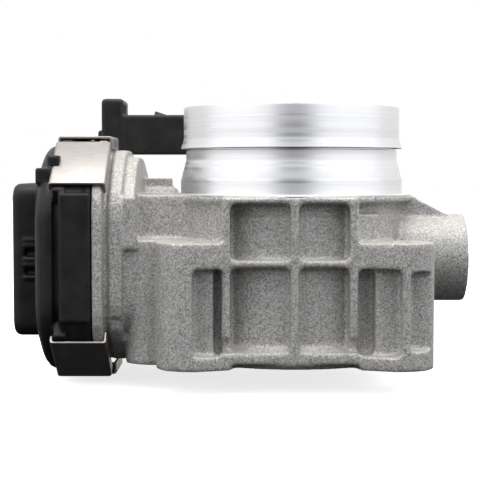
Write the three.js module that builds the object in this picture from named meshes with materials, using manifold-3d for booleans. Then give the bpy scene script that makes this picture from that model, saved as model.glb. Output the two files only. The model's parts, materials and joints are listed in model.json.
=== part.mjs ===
// Electronic throttle body: a bore with a butterfly plate on a shaft that a small
// motor turns through two gear stages, against a return spring.
//
// Millimetres. The origin is on the bore axis in the manifold flange face, +Z runs up
// the bore to the duct neck, and the throttle shaft lies along X with its gears at -X.
import * as THREE from "three";
import { mergeVertices } from "three/addons/utils/BufferGeometryUtils.js";
import Module from "manifold-3d";

const wasm = await Module();
wasm.setup();

// ---------------------------------------------------------------- driving dimensions

// General fits
const GAP = 0.3; // between pieces that touch or are pressed together
const FINE_SIDES = 64; // sides of the bore and of what is turned with it
const ROUND_SIDES = 32; // sides of ordinary round features
const SMALL_SIDES = 20; // sides of pins, screws and holes

// Bore, barrel and neck
const BORE_RADIUS = 38;
const BARREL_WALL = 4;
const UPPER_BARREL_WALL = 2.8; // the thinner band right under the lip
const UPPER_BARREL_HEIGHT = 5.2;
const UPPER_BARREL_STEP = 0.8;
const LIP_REACH = 7.5; // lip and foot rings, out from the bore
const LIP_THICKNESS = 2.5;
const FOOT_HEIGHT = 5.5;
const FOOT_CHAMFER = 1.6;
const FOOT_SLOPE = 2.5; // from the foot ring back to the barrel
const BODY_HEIGHT = 61.5; // flange face to the top of the lip
const SHAFT_HEIGHT = 37.3; // flange face to the shaft axis
const NECK_BASE_WALL = 4.4;
const NECK_BASE_HEIGHT = 5.8;
const NECK_CONE_HEIGHT = 7.2;
const NECK_GROOVE_WALL = 2.35;
const NECK_GROOVE_HEIGHT = 4.4;
const NECK_BEAD_WALL = 4.35;
const NECK_BEAD_HEIGHT = 3.6;
const NECK_TOP_WALL = 3.25;
const NECK_TOP_HEIGHT = 12.6;
const NECK_EDGE = 1;

// Bolt lugs and the rib panel between them
const BOLT_REACH = 14.9; // bolt circle, out from the bore
const BOLT_HOLE_RADIUS = 3.4;
const LUG_RADIUS = 12.5;
const LUG_HEIGHT = 45;
const LUG_CAP = 9; // solid band over the pockets
const LUG_FLOOR = 5;
const POCKET_ROUND = 2.5;
const POCKET_LEFT_WIDTH = 10.3; // pockets beside the panel, each with a deeper part next to it
const POCKET_LEFT_DEEP_WIDTH = 3;
const POCKET_RIGHT_WIDTH = 15.1;
const POCKET_RIGHT_DEEP_WIDTH = 6;
const POCKET_RIB = 2.8; // between the right lug's two pockets
const POCKET_OUTER_WALL = 1.5;
const PANEL_REACH = 7.5; // front of the ribs, out from the bore
const PANEL_LEFT_GAP = 11.2; // from a bolt's centre to the nearer side of the panel
const PANEL_RIGHT_GAP = 15.2;
const PANEL_NOTCH = 5; // height of the gap that joins pocket and window under a side rib
const PANEL_NOTCH_DEPTH = 4;
const PANEL_RIB = 3;
const PANEL_MIDDLE = -0.3; // centre of the upright middle rib
const PANEL_SHELF = 37.6; // centre of the level rib
const PANEL_SHELF_THICKNESS = 2.6;
const PANEL_BOTTOM = 1.8;
const PANEL_SILL = 6;

// Block and columns between the barrel and the gear case
const BLOCK_FRONT = -22;
const BLOCK_BACK = 28;
const BLOCK_WEB_FRONT = -10; // the thinner wall under the block
const BLOCK_WEB_BOTTOM = 14;
const COLUMN_RADIUS = 10.5;
const COLUMN_OFFSET = 6.3; // centre, towards the bore from the back of the pan
const COLUMN_Y = -22;
const SMALL_COLUMN_RADIUS = 2.4;
const SMALL_COLUMN_OFFSET = 1.7; // centre, away from the bore
const SMALL_COLUMN_Y = -31.2;
const SHOULDER_LEFT_WALL = 6.6; // fuller barrel beside the panel, above the lugs
const SHOULDER_LEFT_REACH = 42;
const SHOULDER_RIGHT_WALL = 6.2;
const SHOULDER_RIGHT_REACH = 31;
const SHOULDER_RIGHT_TOP = 55;
const REAR_PAD_HEIGHT = 2; // above the lip
const REAR_PAD_WIDTH = 14;
const REAR_STOP_HEIGHT = 6;
const REAR_STOP_WIDTH = 12;
const BARREL_BRACE_HALF = 9;

// Shaft boss on the far side
const END_BOSS_RADIUS = 16.8;
const END_BOSS_REACH = 28; // boss end, out from the bore
const END_WEB_WIDTH = 12;

// Shaft, plate and their bearings
const SHAFT_RADIUS = 5;
const PLATE_THICKNESS = 2.4;
const PLATE_GAP = 0.3; // plate rim to bore
const REST_OPENING = 7; // degrees that the plate stands open with no current
const PLATE_SCREW_SPACING = 26;
const PLATE_SCREW_RADIUS = 2;
const PLATE_SCREW_HEAD_RADIUS = 3.6;
const PLATE_SCREW_HEAD = 1.8;
const GEAR_BEARING_RADIUS = 9.5;
const GEAR_BEARING_WIDTH = 6;
const END_BEARING_RADIUS = 7.5;
const END_BEARING_WIDTH = 12;
const SEAL_RADIUS = 8.4;
const SEAL_WIDTH = 3;
const PLUG_THICKNESS = 2.2;

// Gear case: pan cast with the housing, and the cover over it
const CASE_OFFSET = 20; // outside of the pan floor, out from the bore
const PAN_FLOOR = 4;
const PAN_DEPTH = 11;
const CASE_FRONT = -38;
const CASE_BACK_MARGIN = 10.24; // outside of the case, out from the motor can
const CASE_HALF_HEIGHT = 45;
const CASE_ROUND = 8;
const PAN_WALL_INSET = 7.5; // inside of the pan, in from the case outline
const RIM_WIDTH = 3.7;
const CLIP_GROOVE_WIDTH = 2;
const CLIP_GROOVE_INSET = 5.6;
const PAN_BAND_WIDTH = 4.9;
const PAN_BAND_INSET = 4;
const PAN_BACK_INSET = 6.6;
const COVER_RIM_WIDTH = 14.2;
const COVER_DOME_DEPTH = 7.3;
const COVER_DOME_INSET = 2.5;
const COVER_DOME_ROUND = 9;
const COVER_WALL_INSET = 5.4;
const COVER_SKIN = 2.5;
const SENSOR_BLOCK_DEPTH = 10;
const SENSOR_BLOCK_HALF_WIDTH = 20;
const SENSOR_BLOCK_HALF_HEIGHT = 28.5;
const SENSOR_BLOCK_EDGE = 1.6;
const SENSOR_BLOCK_ROUND = 4;
const SENSOR_SLOTS = [
  [1.3, 4.3],
  [-5.5, -2.9],
]; // bottom and top, above the shaft axis
const SENSOR_SLOT_DEPTH = 1.4;
const CHIP_HALF = 4;
const CHIP_THICKNESS = 1.4;
const SEAL_INSET = 1.8;
const COVER_SEAL_WIDTH = 2;
const COVER_SEAL_DEPTH = 1.7;

// Cover clips
const CLIP_THICKNESS = 1;
const CLIP_LENGTH = 26;
const CLIP_HOOK = 3.6;

// Connector
const TOWER_REACH = 4.7; // each way from the cover's joint face
const TOWER_ROUND = 2.5;
const TOWER_HEIGHT = 18.5; // over the top of the gear case
const SOCKET_FRONT = 46.5;
const SOCKET_WIDTH = 24;
const SOCKET_DROP = 4.8; // underside, down from the top of the gear case
const SOCKET_HEIGHT = 16.5;
const SOCKET_LENGTH = 30.6; // from the tower to the mouth
const SOCKET_CHAMFER = 2;
const SOCKET_WALL = 2;
const LATCH_BACK = 18; // latch ramp, back from the mouth
const LATCH_LENGTH = 5.5;
const LATCH_HEIGHT = 2;
const LATCH_HALF_WIDTH = 5;
const FIN_THICKNESS = 1.2;
const FIN_HEIGHT = 4.5;
const SOCKET_DEPTH = 27;
const PIN_WIDTH = 1.5;
const PIN_THICKNESS = 0.8;
const PIN_LENGTH = 29;
const PIN_PITCH = 5.5;
const PIN_ROW_PITCH = 5;

// Gears
const PRESSURE_ANGLE = THREE.MathUtils.degToRad(20);
const SECTOR_TEETH = 55; // as if it went all the way round
const IDLER_PINION_TEETH = 13;
const SECTOR_MODULE = 1;
const IDLER_TEETH = 63;
const MOTOR_PINION_TEETH = 12;
const IDLER_MODULE = 0.8;
const TOOTH_SLACK = 0.14; // taken off each tooth's thickness
const ROOT_RELIEF = 0.14; // undercut each side of a tooth's root
const IDLER_DIRECTION = THREE.MathUtils.degToRad(11.2); // from the shaft to the idler
const MOTOR_DIRECTION = THREE.MathUtils.degToRad(-27.5); // from the idler to the motor
const SECTOR_FROM = THREE.MathUtils.degToRad(-76);
const SECTOR_TO = THREE.MathUtils.degToRad(30);
const SECTOR_WIDTH = 6;
const SECTOR_HUB_RADIUS = 7;
const SECTOR_BODY_RADIUS = 14;
const SPRING_SPACE = 12; // pan floor to the sector gear
const IDLER_WIDTH = 4;
const IDLER_STEP = 2; // idler wheel face to sector face
const IDLER_PIN_RADIUS = 2.5;
const IDLER_BOSS_GAP = 1.5; // boss end, back from the sector gear's face
const MAGNET_RADIUS = 4.5;
const MAGNET_THICKNESS = 4;

// Motor
const MOTOR_RADIUS = 15.8;
const MOTOR_LENGTH = 52;
const MOTOR_WALL = 1.2;
const MOTOR_BARREL_WALL = 2.4;
const MOTOR_SHAFT_RADIUS = 1.6;
const MOTOR_PLATE_THICKNESS = 1.7;
const MOTOR_SCREW_RADIUS = 2;
const MOTOR_SCREW_REACH = 4.7; // screw circle, out from the can
const MOTOR_SCREW_ANGLES = [100, 225];
const TERMINAL_ANGLES = [7.5, -62.5];
const TERMINAL_CIRCLE = 9;
const ARMATURE_RADIUS = 9.5;
const ARMATURE_SLOTS = 5;
const COMMUTATOR_RADIUS = 4;

// Return spring
const SPRING_RADIUS = 12;
const SPRING_WIRE_RADIUS = 0.75;
const SPRING_TURNS = 4;
const SLEEVE_WALL = 1.1;

// ---------------------------------------------------------------- derived places

const BARREL_RADIUS = BORE_RADIUS + BARREL_WALL;
const BOLT_OFFSET = (BORE_RADIUS + BOLT_REACH) / Math.SQRT2;
const PANEL_FRONT = BORE_RADIUS + PANEL_REACH;
const PANEL_LEFT = PANEL_LEFT_GAP - BOLT_OFFSET;
const PANEL_RIGHT = BOLT_OFFSET - PANEL_RIGHT_GAP;
const NECK_TOP =
  BODY_HEIGHT + NECK_BASE_HEIGHT + NECK_CONE_HEIGHT + NECK_GROOVE_HEIGHT + NECK_BEAD_HEIGHT + NECK_TOP_HEIGHT;
const END_BOSS_X = BORE_RADIUS + END_BOSS_REACH;

// The gear case grows from the pan floor towards -X.
const PAN_BACK_X = -(BORE_RADIUS + CASE_OFFSET);
const PAN_FLOOR_X = PAN_BACK_X - PAN_FLOOR;
const PAN_FACE_X = PAN_FLOOR_X - PAN_DEPTH;
const COVER_FACE_X = PAN_FACE_X - GAP;
const COVER_RIM_X = COVER_FACE_X - COVER_RIM_WIDTH + GAP;
const COVER_DOME_X = COVER_RIM_X - COVER_DOME_DEPTH;
const COVER_INSIDE_X = COVER_DOME_X + COVER_SKIN;
const COVER_BLOCK_X = COVER_DOME_X - SENSOR_BLOCK_DEPTH;
const CASE_BOTTOM = SHAFT_HEIGHT - CASE_HALF_HEIGHT;
const CASE_TOP = SHAFT_HEIGHT + CASE_HALF_HEIGHT;
const TOWER_LEFT = COVER_FACE_X - TOWER_REACH;
const TOWER_RIGHT = COVER_FACE_X + TOWER_REACH;
const TOWER_TOP = CASE_TOP + TOWER_HEIGHT;
const SOCKET_BOTTOM = CASE_TOP - SOCKET_DROP;
const SOCKET_END = TOWER_RIGHT + SOCKET_LENGTH;

// Gear train, in the (Y, Z) plane
const SECTOR_DISTANCE = (SECTOR_MODULE * (SECTOR_TEETH + IDLER_PINION_TEETH)) / 2;
const MOTOR_DISTANCE = (IDLER_MODULE * (IDLER_TEETH + MOTOR_PINION_TEETH)) / 2;
const IDLER_Y = SECTOR_DISTANCE * Math.cos(IDLER_DIRECTION);
const IDLER_Z = SHAFT_HEIGHT + SECTOR_DISTANCE * Math.sin(IDLER_DIRECTION);
const MOTOR_Y = IDLER_Y + MOTOR_DISTANCE * Math.cos(MOTOR_DIRECTION);
const MOTOR_Z = IDLER_Z + MOTOR_DISTANCE * Math.sin(MOTOR_DIRECTION);
const SECTOR_RIGHT_X = PAN_FLOOR_X - SPRING_SPACE;
const SECTOR_LEFT_X = SECTOR_RIGHT_X - SECTOR_WIDTH;
const IDLER_RIGHT_X = SECTOR_LEFT_X - IDLER_STEP;
const IDLER_LEFT_X = IDLER_RIGHT_X - IDLER_WIDTH;
const SHAFT_LEFT_X = IDLER_LEFT_X + 1.5;
const CASE_BACK = MOTOR_Y + MOTOR_RADIUS + CASE_BACK_MARGIN;
const MOTOR_BORE_RADIUS = MOTOR_RADIUS + GAP;
const MOTOR_SCREW_CIRCLE = MOTOR_RADIUS + MOTOR_SCREW_REACH;
const MOTOR_RIGHT_X = PAN_FLOOR_X + MOTOR_LENGTH + 1;
const BARREL_END_X = MOTOR_RIGHT_X + 3;

// ---------------------------------------------------------------- helpers

const SIDEWAYS = new THREE.Matrix4().makeBasis(
  new THREE.Vector3(0, 1, 0),
  new THREE.Vector3(0, 0, 1),
  new THREE.Vector3(1, 0, 0),
);

// A manifold solid from a closed three.js geometry.
function solid(geometry) {
  const bare = geometry.clone();
  bare.deleteAttribute("normal");
  bare.deleteAttribute("uv");
  const merged = mergeVertices(bare, 1e-4);
  const triVerts = new Uint32Array(merged.index.array);
  const vertProperties = merged.attributes.position.array;
  return new wasm.Manifold(new wasm.Mesh({ numProp: 3, vertProperties, triVerts }));
}

const join = (...solids) => solids.reduce((whole, piece) => whole.add(piece));
const cut = (whole, ...tools) => tools.reduce((rest, tool) => rest.subtract(tool), whole);

// A box given by its low and high corners.
function box(x0, x1, y0, y1, z0, z1) {
  const geometry = new THREE.BoxGeometry(x1 - x0, y1 - y0, z1 - z0);
  return solid(geometry.translate((x0 + x1) / 2, (y0 + y1) / 2, (z0 + z1) / 2));
}

// A cylinder along X at (y, z).
function rodX(radius, x0, x1, y, z, sides = ROUND_SIDES) {
  const geometry = new THREE.CylinderGeometry(radius, radius, x1 - x0, sides);
  return solid(geometry.rotateZ(-Math.PI / 2).translate((x0 + x1) / 2, y, z));
}

// A cylinder along Z at (x, y).
function rodZ(radius, z0, z1, x, y, sides = ROUND_SIDES) {
  const geometry = new THREE.CylinderGeometry(radius, radius, z1 - z0, sides);
  return solid(geometry.rotateX(Math.PI / 2).translate(x, y, (z0 + z1) / 2));
}

const tubeX = (outer, inner, x0, x1, y, z, sides = ROUND_SIDES) =>
  cut(rodX(outer, x0, x1, y, z, sides), rodX(inner, x0 - 1, x1 + 1, y, z, sides));

// A turned solid: the profile is a list of [radius, height], going up outside.
function turned(profile, sides) {
  const points = profile.map(([radius, height]) => new THREE.Vector2(radius, height));
  return new THREE.LatheGeometry(points, sides);
}

const turnedZ = (profile, sides = ROUND_SIDES) => solid(turned(profile, sides).rotateX(Math.PI / 2));
const turnedX = (profile, y, z, sides = ROUND_SIDES) =>
  solid(turned(profile, sides).rotateZ(-Math.PI / 2).translate(0, y, z));

// Plates cut from a flat outline. In alongX the outline is (Y, Z), in alongY (X, Z).
function extruded(shape, depth, curveSegments) {
  return new THREE.ExtrudeGeometry(shape, { depth, bevelEnabled: false, curveSegments });
}

const alongX = (shape, x0, x1, segments = 3) =>
  solid(extruded(shape, x1 - x0, segments).applyMatrix4(SIDEWAYS).translate(x0, 0, 0));
const alongY = (shape, y0, y1, segments = 3) =>
  solid(extruded(shape, y1 - y0, segments).rotateX(Math.PI / 2).translate(0, y1, 0));
const alongZ = (shape, z0, z1, segments = 8) =>
  solid(extruded(shape, z1 - z0, segments).translate(0, 0, z0));

// A closed outline through the corners, each rounded by an arc-like curve.
function roundedOutline(corners, radius) {
  const shape = new THREE.Shape();
  corners.forEach((corner, i) => {
    const before = corners[(i + corners.length - 1) % corners.length];
    const after = corners[(i + 1) % corners.length];
    const enter = corner.clone().add(before.clone().sub(corner).setLength(radius));
    const leave = corner.clone().add(after.clone().sub(corner).setLength(radius));
    if (i === 0) shape.moveTo(enter.x, enter.y);
    else shape.lineTo(enter.x, enter.y);
    shape.quadraticCurveTo(corner.x, corner.y, leave.x, leave.y);
  });
  shape.closePath();
  return shape;
}

function roundedRectangle(u0, u1, v0, v1, radius) {
  const corners = [
    new THREE.Vector2(u0, v0),
    new THREE.Vector2(u1, v0),
    new THREE.Vector2(u1, v1),
    new THREE.Vector2(u0, v1),
  ];
  return roundedOutline(corners, radius);
}

// Moves every edge of a convex, anticlockwise outline inwards.
function insetCorners(corners, inset) {
  return corners.map((corner, i) => {
    const before = corners[(i + corners.length - 1) % corners.length];
    const after = corners[(i + 1) % corners.length];
    const along1 = corner.clone().sub(before).normalize();
    const along2 = after.clone().sub(corner).normalize();
    const inward1 = new THREE.Vector2(-along1.y, along1.x);
    const inward2 = new THREE.Vector2(-along2.y, along2.x);
    const shift = inset / (1 + inward1.dot(inward2));
    return corner.clone().add(inward1.add(inward2).multiplyScalar(shift));
  });
}

const group = new THREE.Group();

// Adds one sub-part to the group.
function addPart(name, whole, material) {
  const { numProp, vertProperties, triVerts } = whole.getMesh();
  const geometry = new THREE.BufferGeometry();
  const positions = new THREE.InterleavedBuffer(vertProperties, numProp);
  geometry.setAttribute("position", new THREE.InterleavedBufferAttribute(positions, 3, 0));
  geometry.setIndex(new THREE.BufferAttribute(triVerts, 1));
  const mesh = new THREE.Mesh(geometry.toNonIndexed(), material());
  mesh.geometry.computeVertexNormals();
  mesh.name = name;
  group.add(mesh);
}

const finish = (color, roughness, metalness) => () =>
  new THREE.MeshStandardMaterial({ color, roughness, metalness });

const castAluminium = finish(0xa8a6a2, 0.62, 0.75);
const brass = finish(0xc8a24a, 0.32, 1);
const blackPlastic = finish(0x262626, 0.5, 0);
const springSteel = finish(0xcfc8c0, 0.28, 1);
const turnedSteel = finish(0xb8bcc0, 0.3, 1);
const bearingSteel = finish(0x9ea2a6, 0.25, 1);
const rubber = finish(0x1d1d1f, 0.8, 0);
const paleNylon = finish(0xd9d4c4, 0.5, 0);
const magnetGrey = finish(0x3a3b3e, 0.55, 0.3);
const copper = finish(0xb8693c, 0.4, 0.9);
const carbon = finish(0x2c2c2e, 0.7, 0.1);
const boardGreen = finish(0x2f5d3a, 0.55, 0.1);
const tinned = finish(0xd2d0ca, 0.25, 1);

// ---------------------------------------------------------------- gear case outline

// Corners of the case in (Y, Z), anticlockwise, level with the shaft in the middle.
const CASE_CORNERS = [
  new THREE.Vector2(CASE_FRONT, SHAFT_HEIGHT + 26),
  new THREE.Vector2(CASE_FRONT, SHAFT_HEIGHT - 26),
  new THREE.Vector2(CASE_FRONT + 26, CASE_BOTTOM),
  new THREE.Vector2(CASE_BACK - 40, CASE_BOTTOM),
  new THREE.Vector2(CASE_BACK, CASE_BOTTOM + 21.4),
  new THREE.Vector2(CASE_BACK, CASE_TOP - 36),
  new THREE.Vector2(CASE_BACK - 38, CASE_TOP - 8),
  new THREE.Vector2(CASE_BACK - 66, CASE_TOP),
  new THREE.Vector2(CASE_FRONT + 26, CASE_TOP),
];

const caseOutline = (inset) => roundedOutline(insetCorners(CASE_CORNERS, inset), CASE_ROUND);
const caseSlab = (inset, x0, x1) => alongX(caseOutline(inset), x0, x1);

// ---------------------------------------------------------------- throttle housing

// The barrel, lip and neck in one turned profile, still solid.
function turnedBody() {
  const at = (wall, height) => [BORE_RADIUS + wall, height];
  const upperBarrel = BODY_HEIGHT - LIP_THICKNESS - UPPER_BARREL_HEIGHT;
  const base = BODY_HEIGHT + NECK_BASE_HEIGHT;
  const groove = base + NECK_CONE_HEIGHT;
  const bead = groove + NECK_GROOVE_HEIGHT;
  const top = bead + NECK_BEAD_HEIGHT;
  return turnedZ(
    [
      [0, 0],
      at(LIP_REACH - FOOT_CHAMFER, 0),
      at(LIP_REACH, FOOT_CHAMFER),
      at(LIP_REACH, FOOT_HEIGHT),
      at(BARREL_WALL, FOOT_HEIGHT + FOOT_SLOPE),
      at(BARREL_WALL, upperBarrel),
      at(UPPER_BARREL_WALL, upperBarrel + UPPER_BARREL_STEP),
      at(UPPER_BARREL_WALL, BODY_HEIGHT - LIP_THICKNESS),
      at(LIP_REACH, BODY_HEIGHT - LIP_THICKNESS),
      at(LIP_REACH, BODY_HEIGHT),
      at(NECK_BASE_WALL, BODY_HEIGHT),
      at(NECK_BASE_WALL, base),
      at(NECK_GROOVE_WALL, groove),
      at(NECK_GROOVE_WALL, bead),
      at(NECK_BEAD_WALL, bead),
      at(NECK_TOP_WALL, top),
      at(NECK_TOP_WALL, NECK_TOP - NECK_EDGE),
      at(NECK_TOP_WALL - NECK_EDGE, NECK_TOP),
      [0, NECK_TOP],
    ],
    FINE_SIDES,
  );
}

// One bolt lug in the corner between +X and +Y, wrapped from the panel line round the bolt.
function lugShape() {
  const side = -PANEL_LEFT - PANEL_RIB;
  const reach = Math.hypot(PANEL_FRONT - BOLT_OFFSET, side - BOLT_OFFSET);
  const lean = Math.atan2(side - BOLT_OFFSET, PANEL_FRONT - BOLT_OFFSET);
  const from = lean + Math.acos(LUG_RADIUS / reach);
  const shape = new THREE.Shape();
  shape.moveTo(side / 2, side / 2);
  shape.lineTo(PANEL_FRONT, side);
  shape.absarc(BOLT_OFFSET, BOLT_OFFSET, LUG_RADIUS, from, Math.PI / 2 - from, false);
  shape.lineTo(side, PANEL_FRONT);
  shape.closePath();
  return shape;
}

function lug(quarterTurns) {
  const geometry = extruded(lugShape(), LUG_HEIGHT, 7);
  return solid(geometry.rotateZ((quarterTurns * Math.PI) / 2));
}

// A pocket cut into a lug from the front, between two upright planes.
function lugPocket(left, right, depth, bottom, top) {
  const round = Math.min(POCKET_ROUND, (right - left) / 2 - 0.1);
  const shape = roundedRectangle(left, right, bottom, top, round);
  return alongY(shape, -(BOLT_OFFSET + LUG_RADIUS + 5), -(BOLT_OFFSET + LUG_RADIUS) + depth);
}

// The front panel of ribs: a block with four windows.
function ribPanel() {
  const top = BODY_HEIGHT - 0.5;
  const block = box(PANEL_LEFT, PANEL_RIGHT, -PANEL_FRONT, -BORE_RADIUS / 2, PANEL_BOTTOM, top);
  const columns = [
    [PANEL_LEFT + PANEL_RIB, PANEL_MIDDLE - PANEL_RIB / 2],
    [PANEL_MIDDLE + PANEL_RIB / 2, PANEL_RIGHT - PANEL_RIB],
  ];
  const shelfHalf = PANEL_SHELF_THICKNESS / 2;
  const rows = [
    [PANEL_SILL, PANEL_SHELF - shelfHalf],
    [PANEL_SHELF + shelfHalf, BODY_HEIGHT - LIP_THICKNESS],
  ];
  const windows = columns.flatMap(([left, right]) =>
    rows.map(([bottom, sill]) =>
      alongY(roundedRectangle(left, right, bottom, sill, POCKET_ROUND), -PANEL_FRONT - 2, 0),
    ),
  );
  return cut(block, ...windows);
}

// The boss round the far end of the shaft, and the web that ties it to the lip.
function endBoss() {
  const boss = rodX(END_BOSS_RADIUS, BORE_RADIUS, END_BOSS_X, 0, SHAFT_HEIGHT, 48);
  const webTop = SHAFT_HEIGHT + END_BOSS_RADIUS;
  const web = new THREE.Shape();
  web.moveTo(BORE_RADIUS, SHAFT_HEIGHT - END_BOSS_RADIUS - 6);
  web.lineTo(END_BOSS_X - 8, SHAFT_HEIGHT - END_BOSS_RADIUS + 2);
  web.lineTo(END_BOSS_X - 5, webTop - 1);
  web.lineTo(BORE_RADIUS + LIP_REACH, BODY_HEIGHT - 0.2);
  web.lineTo(BORE_RADIUS, BODY_HEIGHT - 0.2);
  web.closePath();
  return join(boss, alongY(web, -END_WEB_WIDTH / 2, END_WEB_WIDTH / 2));
}

// The pan that carries the gears, in stepped bands behind its rim.
function gearPan() {
  const rimX = PAN_FACE_X + RIM_WIDTH;
  const bandX = rimX + CLIP_GROOVE_WIDTH;
  return join(
    caseSlab(0, PAN_FACE_X, rimX),
    caseSlab(CLIP_GROOVE_INSET, rimX - 0.5, bandX + 0.5),
    caseSlab(PAN_BAND_INSET, bandX, bandX + PAN_BAND_WIDTH),
    caseSlab(PAN_BACK_INSET, bandX + PAN_BAND_WIDTH - 0.5, PAN_BACK_X),
  );
}

// What ties the pan to the barrel: a block above, a rounded column and the motor barrel.
function casePedestal() {
  const left = PAN_BACK_X - 1;
  const blockRight = -BORE_RADIUS + 6;
  const blockTop = BODY_HEIGHT;
  const columnX = PAN_BACK_X + COLUMN_OFFSET;
  const smallColumnX = PAN_BACK_X - SMALL_COLUMN_OFFSET;
  const barrelRadius = MOTOR_BORE_RADIUS + MOTOR_BARREL_WALL;
  const braceTop = MOTOR_Z + BARREL_BRACE_HALF;
  const braceRight = PANEL_RIB + POCKET_ROUND - PANEL_RIGHT; // past the rear panel's side rib
  const rear = BLOCK_BACK - REAR_STOP_WIDTH;
  return join(
    box(left, blockRight, BLOCK_FRONT, BLOCK_BACK, LUG_HEIGHT, blockTop),
    box(left, blockRight, BLOCK_WEB_FRONT, BLOCK_BACK, BLOCK_WEB_BOTTOM, LUG_HEIGHT + 1),
    box(left, left + REAR_PAD_WIDTH, rear, BLOCK_BACK + 2, blockTop - 1, blockTop + REAR_PAD_HEIGHT),
    box(left, left + REAR_STOP_WIDTH, rear + 2, BLOCK_BACK, blockTop - 1, blockTop + REAR_STOP_HEIGHT),
    rodZ(COLUMN_RADIUS, 0, LUG_HEIGHT + 0.5, columnX, COLUMN_Y),
    rodZ(SMALL_COLUMN_RADIUS, LUG_HEIGHT - 3, blockTop - 0.5, smallColumnX, SMALL_COLUMN_Y, SMALL_SIDES),
    rodX(barrelRadius, left, BARREL_END_X, MOTOR_Y, MOTOR_Z, 48),
    box(left, braceRight, BLOCK_BACK - 4, MOTOR_Y, MOTOR_Z - BARREL_BRACE_HALF, braceTop),
    box(left, -BORE_RADIUS / 2, 0, BLOCK_BACK, FOOT_HEIGHT, BLOCK_WEB_BOTTOM + 5),
  );
}

// The fuller barrel on either side of the front panel, above the lugs.
function shoulders() {
  const low = LUG_HEIGHT - 1;
  const top = BODY_HEIGHT - 0.5;
  const front = -BORE_RADIUS - LIP_REACH - 1;
  const leftRod = rodZ(BORE_RADIUS + SHOULDER_LEFT_WALL, low, top, 0, 0, FINE_SIDES);
  const rightRod = rodZ(BORE_RADIUS + SHOULDER_RIGHT_WALL, low, SHOULDER_RIGHT_TOP, 0, 0, FINE_SIDES);
  const leftBox = box(-SHOULDER_LEFT_REACH, PANEL_LEFT + 1, front, -BORE_RADIUS / 2, low - 1, top + 1);
  const rightBox = box(PANEL_RIGHT - 1, SHOULDER_RIGHT_REACH, front, -BORE_RADIUS / 2, low - 1, top + 1);
  return join(leftRod.intersect(leftBox), rightRod.intersect(rightBox));
}

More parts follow.
